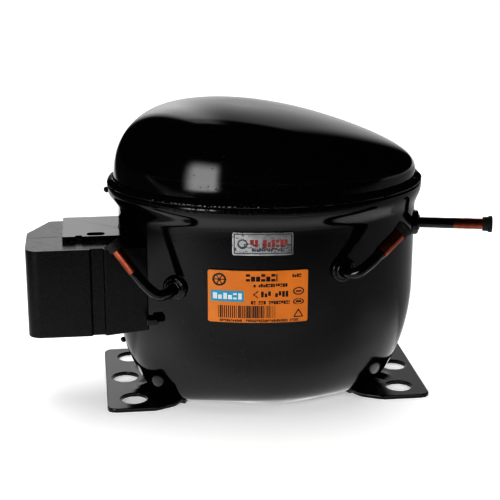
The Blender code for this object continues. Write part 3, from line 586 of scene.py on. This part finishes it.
def lower_shell():
    """The deep-drawn bowl with its sump and bell-mouthed rim, in rings that lie closer where it bends."""
    rings = []
    for share in (0.12, 0.3, 0.5, 0.62, 0.7, 0.76, 0.82, 0.88, 0.94):
        ring = [Vector((WALL_X, 0, 0)).lerp(bowl_point(angle, 0), share) for angle in angles()]
        for point in ring:
            point.z = BOTTOM - sump_depth((point.xy - Vector((WALL_X, 0))).length)
        rings.append(ring)
    rings += [[bowl_point(angle, math.radians(3 * step)) for angle in angles()] for step in range(31)]
    rings += [plan_ring(WALL_X, WALL_A, WALL_B, z) for z in (76, 86, 96, 106, 114)]
    heights = [FLARE_START - 1 + (LIP_WIDEST - FLARE_START + 1) * step / 16 for step in range(17)]
    for z in [*heights, LIP_TOP - LIP_ROUND]:
        share = smoothstep(z, FLARE_START - 1, LIP_WIDEST)
        rings.append(plan_ring(*(between(wall, lip, share) for wall, lip in
                                 ((WALL_X, LIP_X), (WALL_A, LIP_A), (WALL_B, LIP_B))), z))
    for step in range(1, 5):
        turn = math.radians(22.5 * step)
        inset = LIP_ROUND * (1 - math.cos(turn))
        rings.append(plan_ring(LIP_X, LIP_A - inset, LIP_B - inset,
                               LIP_TOP - LIP_ROUND + LIP_ROUND * math.sin(turn)))
    shell = from_bmesh("lower_shell_drawn", loft(rings, Vector((WALL_X, 0, BOTTOM - SUMP_DROP))), "paint")
    solidify(shell, SHEET)
    stand_for(shell, "shell_paint", "lower_shell")


def dome_point(angle, turn):
    """A point on the dome. turn runs from 0, at the skirt, to 90 degrees, at the top left of the middle."""
    rightness = (1 + math.cos(angle)) / 2
    side, top = (power + change * rightness for power, change in (SIDE_POWER, TOP_POWER))
    share, rise = math.cos(turn) ** (2 / side), math.sin(turn) ** (2 / top)
    along_x = share * math.cos(angle)
    height = DOME_HEIGHT - DOME_FALL * along_x - DOME_CROWN * along_x ** 2
    return Vector((LIP_X + DOME_A * along_x, DOME_B * share * math.sin(angle), DOME_BASE + height * rise))


def upper_shell():
    """The dome, highest left of the middle, in rows of equal turn from its skirt to its top."""
    rings = [plan_ring(LIP_X, DOME_A, DOME_B, z) for z in (SKIRT_END, 133, 135)]
    rings += [[dome_point(angle, math.radians(2 * step)) for angle in angles()] for step in range(44)]
    top = Vector((LIP_X, 0, DOME_BASE + DOME_HEIGHT))
    shell = from_bmesh("upper_shell_drawn", loft(rings, None, top), "paint")
    solidify(shell, SHEET)
    stand_for(shell, "shell_paint", "upper_shell")


def seam_weld():
    """The fillet weld in the corner between the lip and the dome, rippled along its run."""
    section = [(0.3, LIP_TOP + GAP), (2.2, LIP_TOP + 0.3), (3.75, LIP_TOP + 0.3), (3.95, 134.9), (3.7, 135.7),
               (3.1, 136.5), (2.3, 137.2), (1.4, 137.8), (0.6, 138.2), (0.3, 138.0)]
    rings = []
    for index, (out, z) in enumerate(section):
        free = 1.0 if 2 < index < 9 else 0.0
        ring = []
        for step, angle in enumerate(angles(900)):
            spot = Vector((math.cos(angle) * 40, math.sin(angle) * 40, 0))
            ripple = 0.16 * math.sin(2 * math.pi * step * 0.23 + 3 * noise.noise(spot * 0.8))
            lump = 0.40 * noise.noise(spot * 0.35 + Vector((0, 0, z * 0.12))) + 0.26 * noise.noise(spot * 1.7)
            grow = free * (ripple + lump)
            ring.append(Vector((LIP_X + (DOME_A + out + grow) * math.cos(angle),
                                (DOME_B + out + grow) * math.sin(angle), z + grow * 0.5)))
        rings.append(ring)
    weld = from_bmesh("seam_weld_bead", loft(rings, hoop=True), "weld_paint", smooth_angle=60)
    stand_for(weld, "shell_paint", "seam_weld")


def foot_rise(x, y, room):
    """How far the foot's sheet rises under the bowl: a rolled edge along it, and two pressed ribs."""
    rib = RIB_HEIGHT * (1 - smoothstep(abs(x), *RIB_FADE)) * math.exp(-((abs(y) - RIB_Y) / RIB_WIDTH) ** 2)
    away = max(room - ROLL_HEIGHT, 0)
    roll = ROLL_HEIGHT * math.exp(-(away / ROLL_WIDTH) ** 1.2)
    return min(max(roll, rib), room)


def foot(side, node):
    """A pressed foot: a sheet that runs in under the bowl to the sump, with three grommet holes."""
    corners = [(x, -y, radius) for x, y, radius in FOOT_HALF] + FOOT_HALF[::-1]
    outline = [(side * x, y) for x, y in rounded(corners)]
    outline += [(WALL_X + side * FOOT_ARC_R * math.cos(turn), FOOT_ARC_R * math.sin(turn))
                for turn in (FOOT_ARC - 2 * FOOT_ARC * step / 40 for step in range(41))]
    holes = [circle(side * x, y, HOLE_R)
             for x, y in ((HOLE_X, -HOLE_Y), (MIDDLE_HOLE_X, 0), (HOLE_X, HOLE_Y))]
    piece = extruded(f"{node}_pressed", [outline, *holes], FOOT_LOW, FOOT_TOP, "foot_paint")
    add_modifier(piece, "REMESH", mode="VOXEL", voxel_size=FOOT_GRID * MM)
    add_modifier(piece, "SMOOTH", factor=0.5, iterations=2)
    apply_modifiers(piece)
    for vertex in piece.data.vertices:
        place = (vertex.co - ORIGIN) / MM
        room = bowl_height(place.x, place.y) - FOOT_TOP - GAP
        rise = foot_rise(place.x, place.y, room)
        underside = place.z < (FOOT_LOW + FOOT_TOP) / 2
        vertex.co.z += (max(rise, 0) if underside else rise) * MM
    piece.data.shade_smooth()
    stand_for(piece, "shell_paint", node)


# ---- springs


def springs():
    """The suspension springs, on which the pump settles, copied from the CAD coils in spring steel."""
    for quarter in QUARTERS:
        node = f"suspension_spring_{quarter}"
        coil = add_object(f"{node}_coil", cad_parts[node].data.copy())
        coil.data.materials.clear()
        coil.data.materials.append(MATERIALS["spring"])
        stand_for(coil, "spring_steel", node)
        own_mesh(coil)


# ---- tube stubs

def stub(name):
    """A bent stub, painted up to a ragged line and bare copper beyond it, with its weld collar and cap."""
    exit_point, route, painted, end_radius = STUBS[name]
    exit_point = Vector(exit_point)
    normal = wall_normal(exit_point)
    if route is None:
        route = [exit_point + normal * reach for reach in (18, 36, DISCHARGE_LENGTH)]
    points = [exit_point - normal * TUBE_IN, exit_point, exit_point + normal * COLLAR_OUT,
              *(Vector(point) for point in route)]
    path = smooth_route(points)
    placed = frames_along(path)
    sides = 36
    edge = painted * (len(path) - 1)
    radii = [between(TUBE_R, end_radius, smoothstep(index, edge - 3, edge + 1)) for index in range(len(path))]
    rings = [ring_at(each, radius, sides, wobble=0.12) for each, radius in zip(placed, radii)]
    shape = loft(rings, path[0], path[-1])
    shape.faces.ensure_lookup_table()
    for index, face in enumerate(shape.faces):
        row, column = divmod(index, sides)
        turn = 2 * math.pi * column / sides
        ragged = edge + 0.9 * noise.noise(Vector((math.cos(turn), math.sin(turn), len(name))) * 2.2)
        face.material_index = 1 if row > ragged else 0
    tube = from_bmesh(f"{name}_tube_bent", shape, ("paint", "copper"))
    stand_for(tube, "copper_tube", f"{name}_tube")
    collar(name, exit_point, normal)
    end_cap(name, path[-1], (path[-1] - path[-2]).normalized(), end_radius + 0.1)


def collar(name, exit_point, normal):
    """The brazed collar: a low disc with a rolled edge and a bead of weld round the tube."""
    bore, root = TUBE_R + 0.1, -3.5
    profile = rounded_profile([(bore, 2.0, 0), (bore, 3.9, 0.6), (4.6, 3.7, 0.8), (5.2, 2.9, 0.4),
                               (6.6, 2.9, 0.8), (COLLAR_R, 1.9, 1.0), (COLLAR_R + 0.2, root, 0),
                               (bore, root, 0)])
    piece = turned(f"{name}_collar_brazed", profile, exit_point, normal, "paint", 72, rough=0.12)
    stand_for(piece, "shell_paint", f"{name}_collar")


def end_cap(name, end, outward, inner):
    """A rubber cap with a flange round its dished end."""
    low, high = -CAP_OVER, CAP_LENGTH - CAP_OVER
    skirt = max(CAP_R - 0.7, inner + 0.7)
    profile = rounded_profile([
        (0, high - 0.9, 0), (3.2, high - 0.9, 0.4), (3.8, high, 0.3), (CAP_R, high, 0.5),
        (CAP_R, high - 1.9, 0.5), (skirt, high - 2.5, 0.5), (skirt - 0.1, low, 0.4),
        (inner, low, 0.3), (inner, GAP, 0), (0, GAP, 0)])
    piece = turned(f"{name}_cap_moulded", profile, end, outward, "rubber", 56)
    stand_for(piece, "cap_rubber", f"{name}_cap")


# ---- labels

LABEL_X, LABEL_Z, LABEL_CORNER = (-40.5, 19.5), (61.8, 95.2), 1.8
PLATE_X, PLATE_Z, PLATE_CORNER = (-26.0, 10.0), (104.4, 118.6), 1.2
STICKER, CELL = 0.25, 0.3

# Areas are (left, low, right, high) from the low left corner. A row of print is an area, a pitch and a seed.
PATCH, PATCH_ROW = (2.0, 13.4, 21.4, 20.4), ((3.4, 15.0, 20.4, 19.0), 2.9, 1)
WHEEL, WHEEL_U, WHEEL_V = (2.0, 23.0, 12.4, 31.6), 7.0, 27.3
BARS, BAR_PITCH = (6.2, 3.4, 40.0, 11.2), 1.2
LABEL_ROWS = [((22.5, 26.4, 41.0, 31.0), 3.0, 2), ((27.0, 22.8, 47.0, 24.9), 1.45, 3),
              ((50.0, 28.6, 57.4, 30.6), 1.45, 4), ((31.4, 16.4, 47.6, 20.2), 2.1, 5),
              ((25.5, 11.9, 48.5, 14.0), 1.5, 6), ((6.0, 1.0, 54.0, 2.4), 1.1, 8)]
ARROW_U, ARROW_V = 27.2, 18.2
ICON_U, OVALS, TRIANGLE_V, TRIANGLE_BASE = 54.0, ((19.8, 2.4), (13.2, 1.9)), 8.2, (51.2, 3.3, 56.8, 4)
PLATE_RING_U, PLATE_RING_V, PLATE_RING_R = 6.0, 7.0, 2.6
RED_ROW, LOW_ROW = ((10.6, 5.2, 32.6, 9.6), 2.5, 9), ((10.0, 2.8, 31.0, 4.4), 1.4, 10)


def on_wall(x, z, out):
    """A point just off the front wall, some way out from it."""
    angle = -math.acos((x - WALL_X) / (WALL_A + GAP))
    place = wall_point(angle, z, GAP)
    return place + wall_normal(place) * out


def sticker(name, x_range, z_range, corner, ink, looks, slot, node):
    """A thin film bent round the wall. ink(u, v) names each cell's colour, with u and v in millimetres."""
    width, height = x_range[1] - x_range[0], z_range[1] - z_range[0]
    columns, rows = round(width / CELL), round(height / CELL)
    shape = bmesh.new()
    grid = []
    for column in range(columns + 1):
        u = width * column / columns
        nearest = min(u, width - u)
        inset = corner - math.sqrt(max(corner ** 2 - max(corner - nearest, 0) ** 2, 0))
        line = []
        for row in range(rows + 1):
            v = inset + (height - 2 * inset) * row / rows
            line.append(shape.verts.new(on_wall(x_range[0] + u, z_range[0] + v, STICKER)))
        grid.append(line)
    for column in range(columns):
        for row in range(rows):
            face = shape.faces.new((grid[column][row], grid[column + 1][row], grid[column + 1][row + 1],
                                    grid[column][row + 1]))
            u, v = width * (column + 0.5) / columns, height * (row + 0.5) / rows
            face.material_index = looks.index(ink(u, v))
    piece = from_bmesh(name, shape, looks)
    solidify(piece, STICKER)
    stand_for(piece, slot, node)


def within(u, v, area):
    left, low, right, high = area
    return left <= u <= right and low <= v <= high


def greeked(u, v, area, pitch, seed):
    """True on a row of blocks that stands for a line of print, without any letters."""
    if not within(u, v, area):
        return False
    left, low, _, high = area
    place = (u - left) / pitch
    block_index, across = math.floor(place), place % 1
    chance = random.Random(block_index * 31 + seed * 7)
    if across > 0.76 or chance.random() > 0.9:
        return False
    part = (v - low) / (high - low)
    style = chance.choice(("full", "full", "high", "low", "split"))
    return (style == "full" or style == "high" and part > 0.3 or style == "low" and part < 0.7
            or style == "split" and abs(part - 0.5) > 0.16)


def rating_ink(u, v):
    """A generic rating label: a border, blocks for print, a blue patch, an arrow, bars and icons."""
    if within(u, v, PATCH):
        return "white_ink" if greeked(u, v, *PATCH_ROW) else "blue"
    if within(u, v, WHEEL):
        radius, turn = math.hypot(u - WHEEL_U, v - WHEEL_V), math.atan2(v - WHEEL_V, u - WHEEL_U)
        spoke = abs(math.sin(3 * turn)) * radius < 0.8
        return "ink" if radius < 4.0 and (radius > 2.9 or spoke) else "orange"
    if within(u, v, BARS):
        share = 0.3 + 0.5 * random.Random(math.floor(u / BAR_PITCH)).random()
        return "ink" if (u / BAR_PITCH) % 1 < share else "orange"
    printed = any(greeked(u, v, *row) for row in LABEL_ROWS)
    beside = abs(v - ARROW_V)
    arrow = abs(beside * 1.15 - (u - ARROW_U)) < 0.45 and beside < 2.2
    for centre_v, tall in OVALS:
        oval = math.hypot((u - ICON_U) / 3.4, (v - centre_v) / tall)
        printed = printed or abs(oval - 0.88) < 0.12 or oval < 0.5 and abs(v - centre_v) < 0.5
    triangle = 3.6 < v < 8.4 and abs(abs(u - ICON_U) * 1.7 + (v - TRIANGLE_V)) < 0.6
    edge = min(u, v, LABEL_X[1] - LABEL_X[0] - u, LABEL_Z[1] - LABEL_Z[0] - v)
    if printed or arrow or triangle or within(u, v, TRIANGLE_BASE) or edge < 0.32:
        return "ink"
    return "orange"


def plate_ink(u, v):
    """A generic serial plate: a pressed border, a ring and worn print."""
    edge = min(u, v, PLATE_X[1] - PLATE_X[0] - u, PLATE_Z[1] - PLATE_Z[0] - v)
    ring = abs(math.hypot(u - PLATE_RING_U, v - PLATE_RING_V) - PLATE_RING_R) < 0.36
    worn = noise.noise(Vector((u * 0.35, v * 1.1, 4))) + 0.5 * noise.noise(Vector((u * 1.6, v * 2.4, 9)))
    if 0.9 < edge < 1.5 or ring or worn > 0.24 and 2.0 < v < 7.4 and edge > 1.5:
        return "silver_ink"
    if greeked(u, v, *RED_ROW):
        return "red_ink"
    return "silver_ink" if greeked(u, v, *LOW_ROW) else "silver"


def labels():
    sticker("rating_label_film", LABEL_X, LABEL_Z, LABEL_CORNER, rating_ink,
            ["orange", "ink", "blue", "white_ink"], "label_film", "rating_label")
    sticker("serial_plate_foil", PLATE_X, PLATE_Z, PLATE_CORNER, plate_ink,
            ["silver", "silver_ink", "red_ink"], "plate_foil", "serial_plate")


# ---- electrical box

def bowl_cutter(name):
    """A solid a little larger than the lower housing."""
    heights = (20, 34, 46, 60, 80, 100, FLARE_START)
    rings = [[wall_point(angle, z, GAP) for angle in angles(120)] for z in heights]
    ends = [Vector((WALL_X, 0, z)) for z in (heights[0], heights[-1])]
    return from_bmesh(name, loft(rings, *ends), None)


def box_half(name, corners, cavity, node, tuck=0.0):
    """Half of the box: rounded, hollow and cut to the housing, with its low right edge tucked up."""
    half = extruded(name, [rounded(corners)], BOX_LOW, BOX_HIGH, "plastic")
    bevel(half, 1.7)
    hollow = extruded(name + "_hollow", [cavity], BOX_LOW + BOX_WALL, BOX_HIGH - BOX_WALL, None)
    cut(half, hollow, bowl_cutter(name + "_bowl"))
    for vertex in half.data.vertices:
        place = (vertex.co - ORIGIN) / MM
        low = 1 - smoothstep(place.z, BOX_LOW + 3, BOX_LOW + 30)
        vertex.co.z += tuck * max(place.x - GROOVE_RIGHT, 0) * low * MM
    crisp(half)
    stand_for(half, "box_plastic", node)


def electrical_box():
    """The grooved cover in front and the chamfered base behind it."""
    groove = BOX_FRONT + GROOVE_DEPTH
    front, back = PARTING_Y - GAP / 2, PARTING_Y + GAP / 2
    inner_left, inner_front, inner_back = BOX_LEFT + BOX_WALL, BOX_FRONT + FRONT_WALL, BOX_BACK - BOX_WALL
    past, short = PARTING_Y + HOLLOW_OVERLAP, PARTING_Y - HOLLOW_OVERLAP
    box_half("terminal_cover_moulded",
             [(BOX_LEFT, front, 0), (BOX_LEFT, BOX_FRONT, 8), (GROOVE_LEFT, BOX_FRONT, 1.0),
              (GROOVE_LEFT + 1, groove, 0.6), (GROOVE_RIGHT - 1, groove, 0.6),
              (GROOVE_RIGHT, BOX_FRONT, 1.0), (BOX_INTO_WALL, BOX_FRONT, 0), (BOX_INTO_WALL, front, 0)],
             [(inner_left, inner_front), (HOLLOW_INTO_WALL, inner_front), (HOLLOW_INTO_WALL, past),
              (inner_left, past)], "terminal_cover", tuck=0.1)
    box_half("terminal_base_moulded",
             [(BOX_LEFT, back, 0), (BOX_INTO_WALL, back, 0), (BOX_INTO_WALL, BOX_BACK, 0),
              (CHAMFER_X, BOX_BACK, 3), (BOX_LEFT, CHAMFER_Y, 3)],
             [(inner_left, short), (HOLLOW_INTO_WALL, short), (HOLLOW_INTO_WALL, inner_back),
              (CHAMFER_X + 1.6, inner_back), (inner_left, CHAMFER_Y - 1)], "terminal_base")


def rounded_rectangle(x_range, y_range, left_radius, right_radius):
    (left, right), (front, back) = x_range, y_range
    return rounded([(left, front, left_radius), (right, front, right_radius), (right, back, right_radius),
                    (left, back, left_radius)])


def bracket():
    """The painted sheet bracket over the box, hemmed down along its free edges, with its slot and notch."""
    left, front, back, top = BRACKET_LEFT, BRACKET_FRONT, BRACKET_BACK, BRACKET_TOP
    hem, sheet = BRACKET_HEM, BRACKET_SHEET
    outline = rounded_rectangle((left, -70), (front, back), 1.5, 0)
    plate = extruded("box_bracket_folded", [outline], hem, top, "foot_paint")
    bevel(plate, 1.3)
    hollow = block("bracket_hollow", (left + sheet, front + sheet, hem - 3),
                   (BOX_INTO_WALL, back + 5, top - sheet), None)
    slot = extruded("bracket_slot", [rounded_rectangle(SLOT_X, SLOT_Y, 2.8, 2.8)], top - 5, top + 3, None)
    notch = block("bracket_notch", (NOTCH_X[0], front - 2, hem - 1),
                  (NOTCH_X[1], front + NOTCH_DEPTH, top + 1), None)
    cut(plate, hollow, slot, notch, bowl_cutter("bracket_bowl"))
    crisp(plate)
    stand_for(plate, "shell_paint", "box_bracket")


def cover_clip():
    """The small bent clip at the cover's low right corner."""
    clip = block("cover_clip_bent", CLIP_LOW, CLIP_HIGH, "paint")
    bevel(clip, 1.1, segments=3)
    cut(clip, bowl_cutter("clip_bowl"))
    crisp(clip)
    stand_for(clip, "shell_paint", "cover_clip")


# ---- weld marks

# The stud and the drop with their radii, and the direction in degrees where the spatter is thickest
STUD, RIM_DROP = ((-90.0, 0, 29.4), 1.7), ((-97.8, 0, 130), 1.8)
SPATTER_AT = -112


def ball(shape, place, radius, seed):
    """Adds a small uneven ball to a mesh."""
    made = bmesh.ops.create_icosphere(shape, subdivisions=3, radius=radius)
    for vertex in made["verts"]:
        vertex.co *= 1 + 0.14 * noise.noise(vertex.co / radius * 1.3 + Vector((seed, 0, 0)))
        vertex.co += Vector(place)


def weld_marks():
    """The small stud low on the left end, the drop of weld on the rim, and spatter round the seam."""
    for name, (place, radius) in (("left_weld_stud", STUD), ("rim_weld_drop", RIM_DROP)):
        shape = bmesh.new()
        ball(shape, place, radius, 0)
        stand_for(from_bmesh(name, shape, "weld_paint"), "shell_paint")
    spots = random.Random(7)
    shape = bmesh.new()
    for index in range(110):
        angle = math.radians(spots.gauss(SPATTER_AT, 22) if index % 3 else spots.uniform(-180, 180))
        size = spots.uniform(0.16, 0.46)
        if index % 2:
            place = dome_point(angle, math.radians(4 + abs(spots.gauss(0, 1)) * 8))
        else:
            place = (WALL_X + (WALL_A + 0.05) * math.cos(angle), (WALL_B + 0.05) * math.sin(angle),
                     117 - abs(spots.gauss(0, 1)) * 6)
        ball(shape, place, size, index)
    for index in range(150):
        angle = math.radians(spots.gauss(SPATTER_AT, 16))
        place = (LIP_X + LIP_A * math.cos(angle), LIP_B * math.sin(angle), spots.uniform(130.6, 133.8))
        ball(shape, place, spots.uniform(0.25, 0.6), index)
    stand_for(from_bmesh("seam_spatter", shape, "weld_paint"), "shell_paint")


# ---- stage, light and camera

def rectangle(name, centre, across, up, width, height, material):
    """A flat stage card, width by height metres, along two directions."""
    centre = Vector(centre)
    across, up = Vector(across).normalized() * width / 2, Vector(up).normalized() * height / 2
    mesh = bpy.data.meshes.new(name)
    mesh.from_pydata([centre - across - up, centre + across - up, centre + across + up, centre - across + up],
                     [], [(0, 1, 2, 3)])
    mesh.uv_layers.new(name="card")
    obj = add_object(name, mesh)
    mesh.materials.append(material)
    return obj


def card_mask(material, soft):
    """A mask over a card: 1 in its middle, with the fade its left, right, low and high edges take."""
    place = add_node(material, "ShaderNodeUVMap")
    parts = add_node(material, "ShaderNodeSeparateXYZ")
    connect(material, place.outputs["UV"], parts.inputs["Vector"])
    mask = None
    for axis, edge, fade in zip("XXYY", (0, 1, 0, 1), soft):
        ramp = map_range(material, parts.outputs[axis], (edge, abs(edge - fade)), (0, 1), "SMOOTHSTEP")
        if mask:
            product = add_node(material, "ShaderNodeMath", operation="MULTIPLY")
            connect(material, mask, product.inputs[0])
            connect(material, ramp, product.inputs[1])
            ramp = product.outputs["Value"]
        mask = ramp
    return mask


def clear_card(name):
    material = bpy.data.materials.new(name)
    material.use_nodes = True
    nodes = material.node_tree.nodes
    nodes.remove(nodes["Principled BSDF"])
    clear = add_node(material, "ShaderNodeBsdfTransparent")
    return material, clear, nodes["Material Output"].inputs["Surface"]


def glow(name, high, soft):
    """A clear card that adds light."""
    material, clear, surface = clear_card(name)
    lamp = add_node(material, "ShaderNodeEmission")
    both = add_node(material, "ShaderNodeAddShader")
    level = map_range(material, card_mask(material, soft), (0, 1), (0, high))
    connect(material, level, lamp.inputs["Strength"])
    connect(material, lamp.outputs["Emission"], both.inputs[0])
    connect(material, clear.outputs["BSDF"], both.inputs[1])
    connect(material, both.outputs["Shader"], surface)
    return material


def veil(name, low, soft):
    """A clear card that dims what lies behind it, to low in its middle."""
    material, clear, surface = clear_card(name)
    level = map_range(material, card_mask(material, soft), (0, 1), (1, low))
    connect(material, level, clear.inputs["Color"])
    connect(material, clear.outputs["BSDF"], surface)
    return material


def stage():
    """A pale table, and cards that the camera doesn't see: lamps, and the room that only gloss shows."""
    white = shader_material("studio_floor_white", (0.90, 0.90, 0.90), 0.9, Specular_IOR_Level=0.1,
                            Emission_Strength=0.17, Emission_Color=(1, 1, 1, 1))
    bump(white, pattern(white, 300, 2.0), 0.00002)
    east, north, up = (1, 0, 0), (0, 1, 0), (0, 0, 1)
    rectangle("studio_floor", (0, 0, 0), east, north, 12, 12, white)
    lamps = [
        ("backdrop", (0.19, 1.0, 0.76), east, 1.02, 1.52, glow, 0.62, (0.06, 0.25, 0.002, 0.16)),
        ("backdrop_lamp", (-0.135, 0.99, 1.1), east, 0.53, 2.0, glow, 0.95, (0.12, 0.45, 0.27, 0.10)),
        ("softbox", (-0.46, -0.59, 0.30), (0.78, -0.62, 0), 0.37, 0.60, glow, 5.0, (0.36, 0.22, 0.07, 0.50)),
    ]
    reflected = [
        ("front_veil", (0, -0.35, 0.0003), 3, 0.30, veil, 0.3, (0.001, 0.001, 0.001, 0.8)),
        ("right_veil", (0.79, 0.1, 0.0005), 1.62, 1.4, veil, 0.58, (0.136, 0.01, 0.01, 0.01)),
        ("left_veil", (-3.18, 2.85, 0.0007), 5.64, 6.3, veil, 0.08, (0.001, 0.021, 0.008, 0.001)),
        ("table_edge", (-0.05, -0.435, 0.0009), 1.0, 0.07, glow, 0.12, (0.2, 0.2, 0.4, 0.4)),
        ("near_floor", (0.005, -0.073, 0.0013), 0.53, 0.186, glow, 0.58, (0.22, 0.2, 0.54, 0.1)),
    ]
    cards = [rectangle(name, centre, across, up, width, height, kind(f"{name}_card", level, soft))
             for name, centre, across, width, height, kind, level, soft in lamps]
    flat = [rectangle(name, centre, east, north, width, height, kind(f"{name}_card", level, soft))
            for name, centre, width, height, kind, level, soft in reflected]
    room = shader_material("dark_room", (0, 0, 0), 1.0, Specular_IOR_Level=0.0)
    flat.append(rectangle("dark_front", (0, -2.47, 0.0011), east, north, 8, 4, room))
    for card in cards + flat:
        card.visible_camera = False
    for card in flat:
        card.visible_diffuse = card.visible_shadow = False


def area_light(name, place, target, width, height, power):
    """An even light that gloss doesn't show."""
    light = bpy.data.lights.new(name, "AREA")
    light.shape = "RECTANGLE"
    light.size, light.size_y, light.energy = width, height, power
    obj = add_object(name, light)
    obj.location = place
    obj.rotation_euler = (Vector(target) - obj.location).to_track_quat("-Z", "Y").to_euler()
    obj.visible_camera = obj.visible_glossy = False


def lights():
    """Two soft fills, a wide ceiling light, and a world that is white to the camera and dark to the rest."""
    area_light("front_fill", (-0.5, -2.4, 0.9), (0, 0, 0.08), 2.0, 1.4, 26)
    area_light("right_fill", (2.6, -0.6, 1.1), (0, 0, 0.08), 1.4, 1.4, 12)
    sun = bpy.data.lights.new("ceiling_fill", "SUN")
    sun.energy, sun.angle = 1.3, math.radians(70)
    ceiling = add_object("ceiling_fill", sun)
    ceiling.rotation_euler = (math.radians(-24), 0, 0)
    ceiling.visible_glossy = False
    world = bpy.data.worlds.new("studio")
    bpy.context.scene.world = world
    world.use_nodes = True
    background = world.node_tree.nodes["Background"]
    background.inputs["Color"].default_value = (1, 1, 1, 1)
    path = add_node(world, "ShaderNodeLightPath")
    strength = map_range(world, path.outputs["Is Camera Ray"], (0, 1), (0.01, 0.9))
    connect(world, strength, background.inputs["Strength"])


# The camera stands 7 degrees round to the left and looks 17.5 degrees down, through a long lens
CAMERA_PLACE = (-106.3, -788.1, 336.9)
CAMERA_YAW, CAMERA_PITCH, CAMERA_ROLL = math.radians(7.15), math.radians(17.46), math.radians(0.15)
SENSOR, LENS = 36.0, 93.3


def camera():
    data = bpy.data.cameras.new("camera")
    data.sensor_width, data.lens = SENSOR, LENS
    data.clip_start, data.clip_end = 0.05, 30
    obj = add_object("camera", data)
    turn = (Matrix.Rotation(-CAMERA_YAW, 4, "Z") @ Matrix.Rotation(math.pi / 2 - CAMERA_PITCH, 4, "X")
            @ Matrix.Rotation(CAMERA_ROLL, 4, "Z"))
    obj.matrix_world = Matrix.Translation(Vector(CAMERA_PLACE) * MM + ORIGIN) @ turn
    bpy.context.scene.camera = obj
    bpy.context.scene.view_settings.view_transform = "Standard"
    bpy.context.scene.view_settings.look = "Very High Contrast"


camera()
lights()
stage()
paint_nodes()
lower_shell()
upper_shell()
seam_weld()
foot(-1, "left_foot")
foot(1, "right_foot")
springs()
for stub_name in STUBS:
    stub(stub_name)
labels()
electrical_box()
bracket()
cover_clip()
weld_marks()
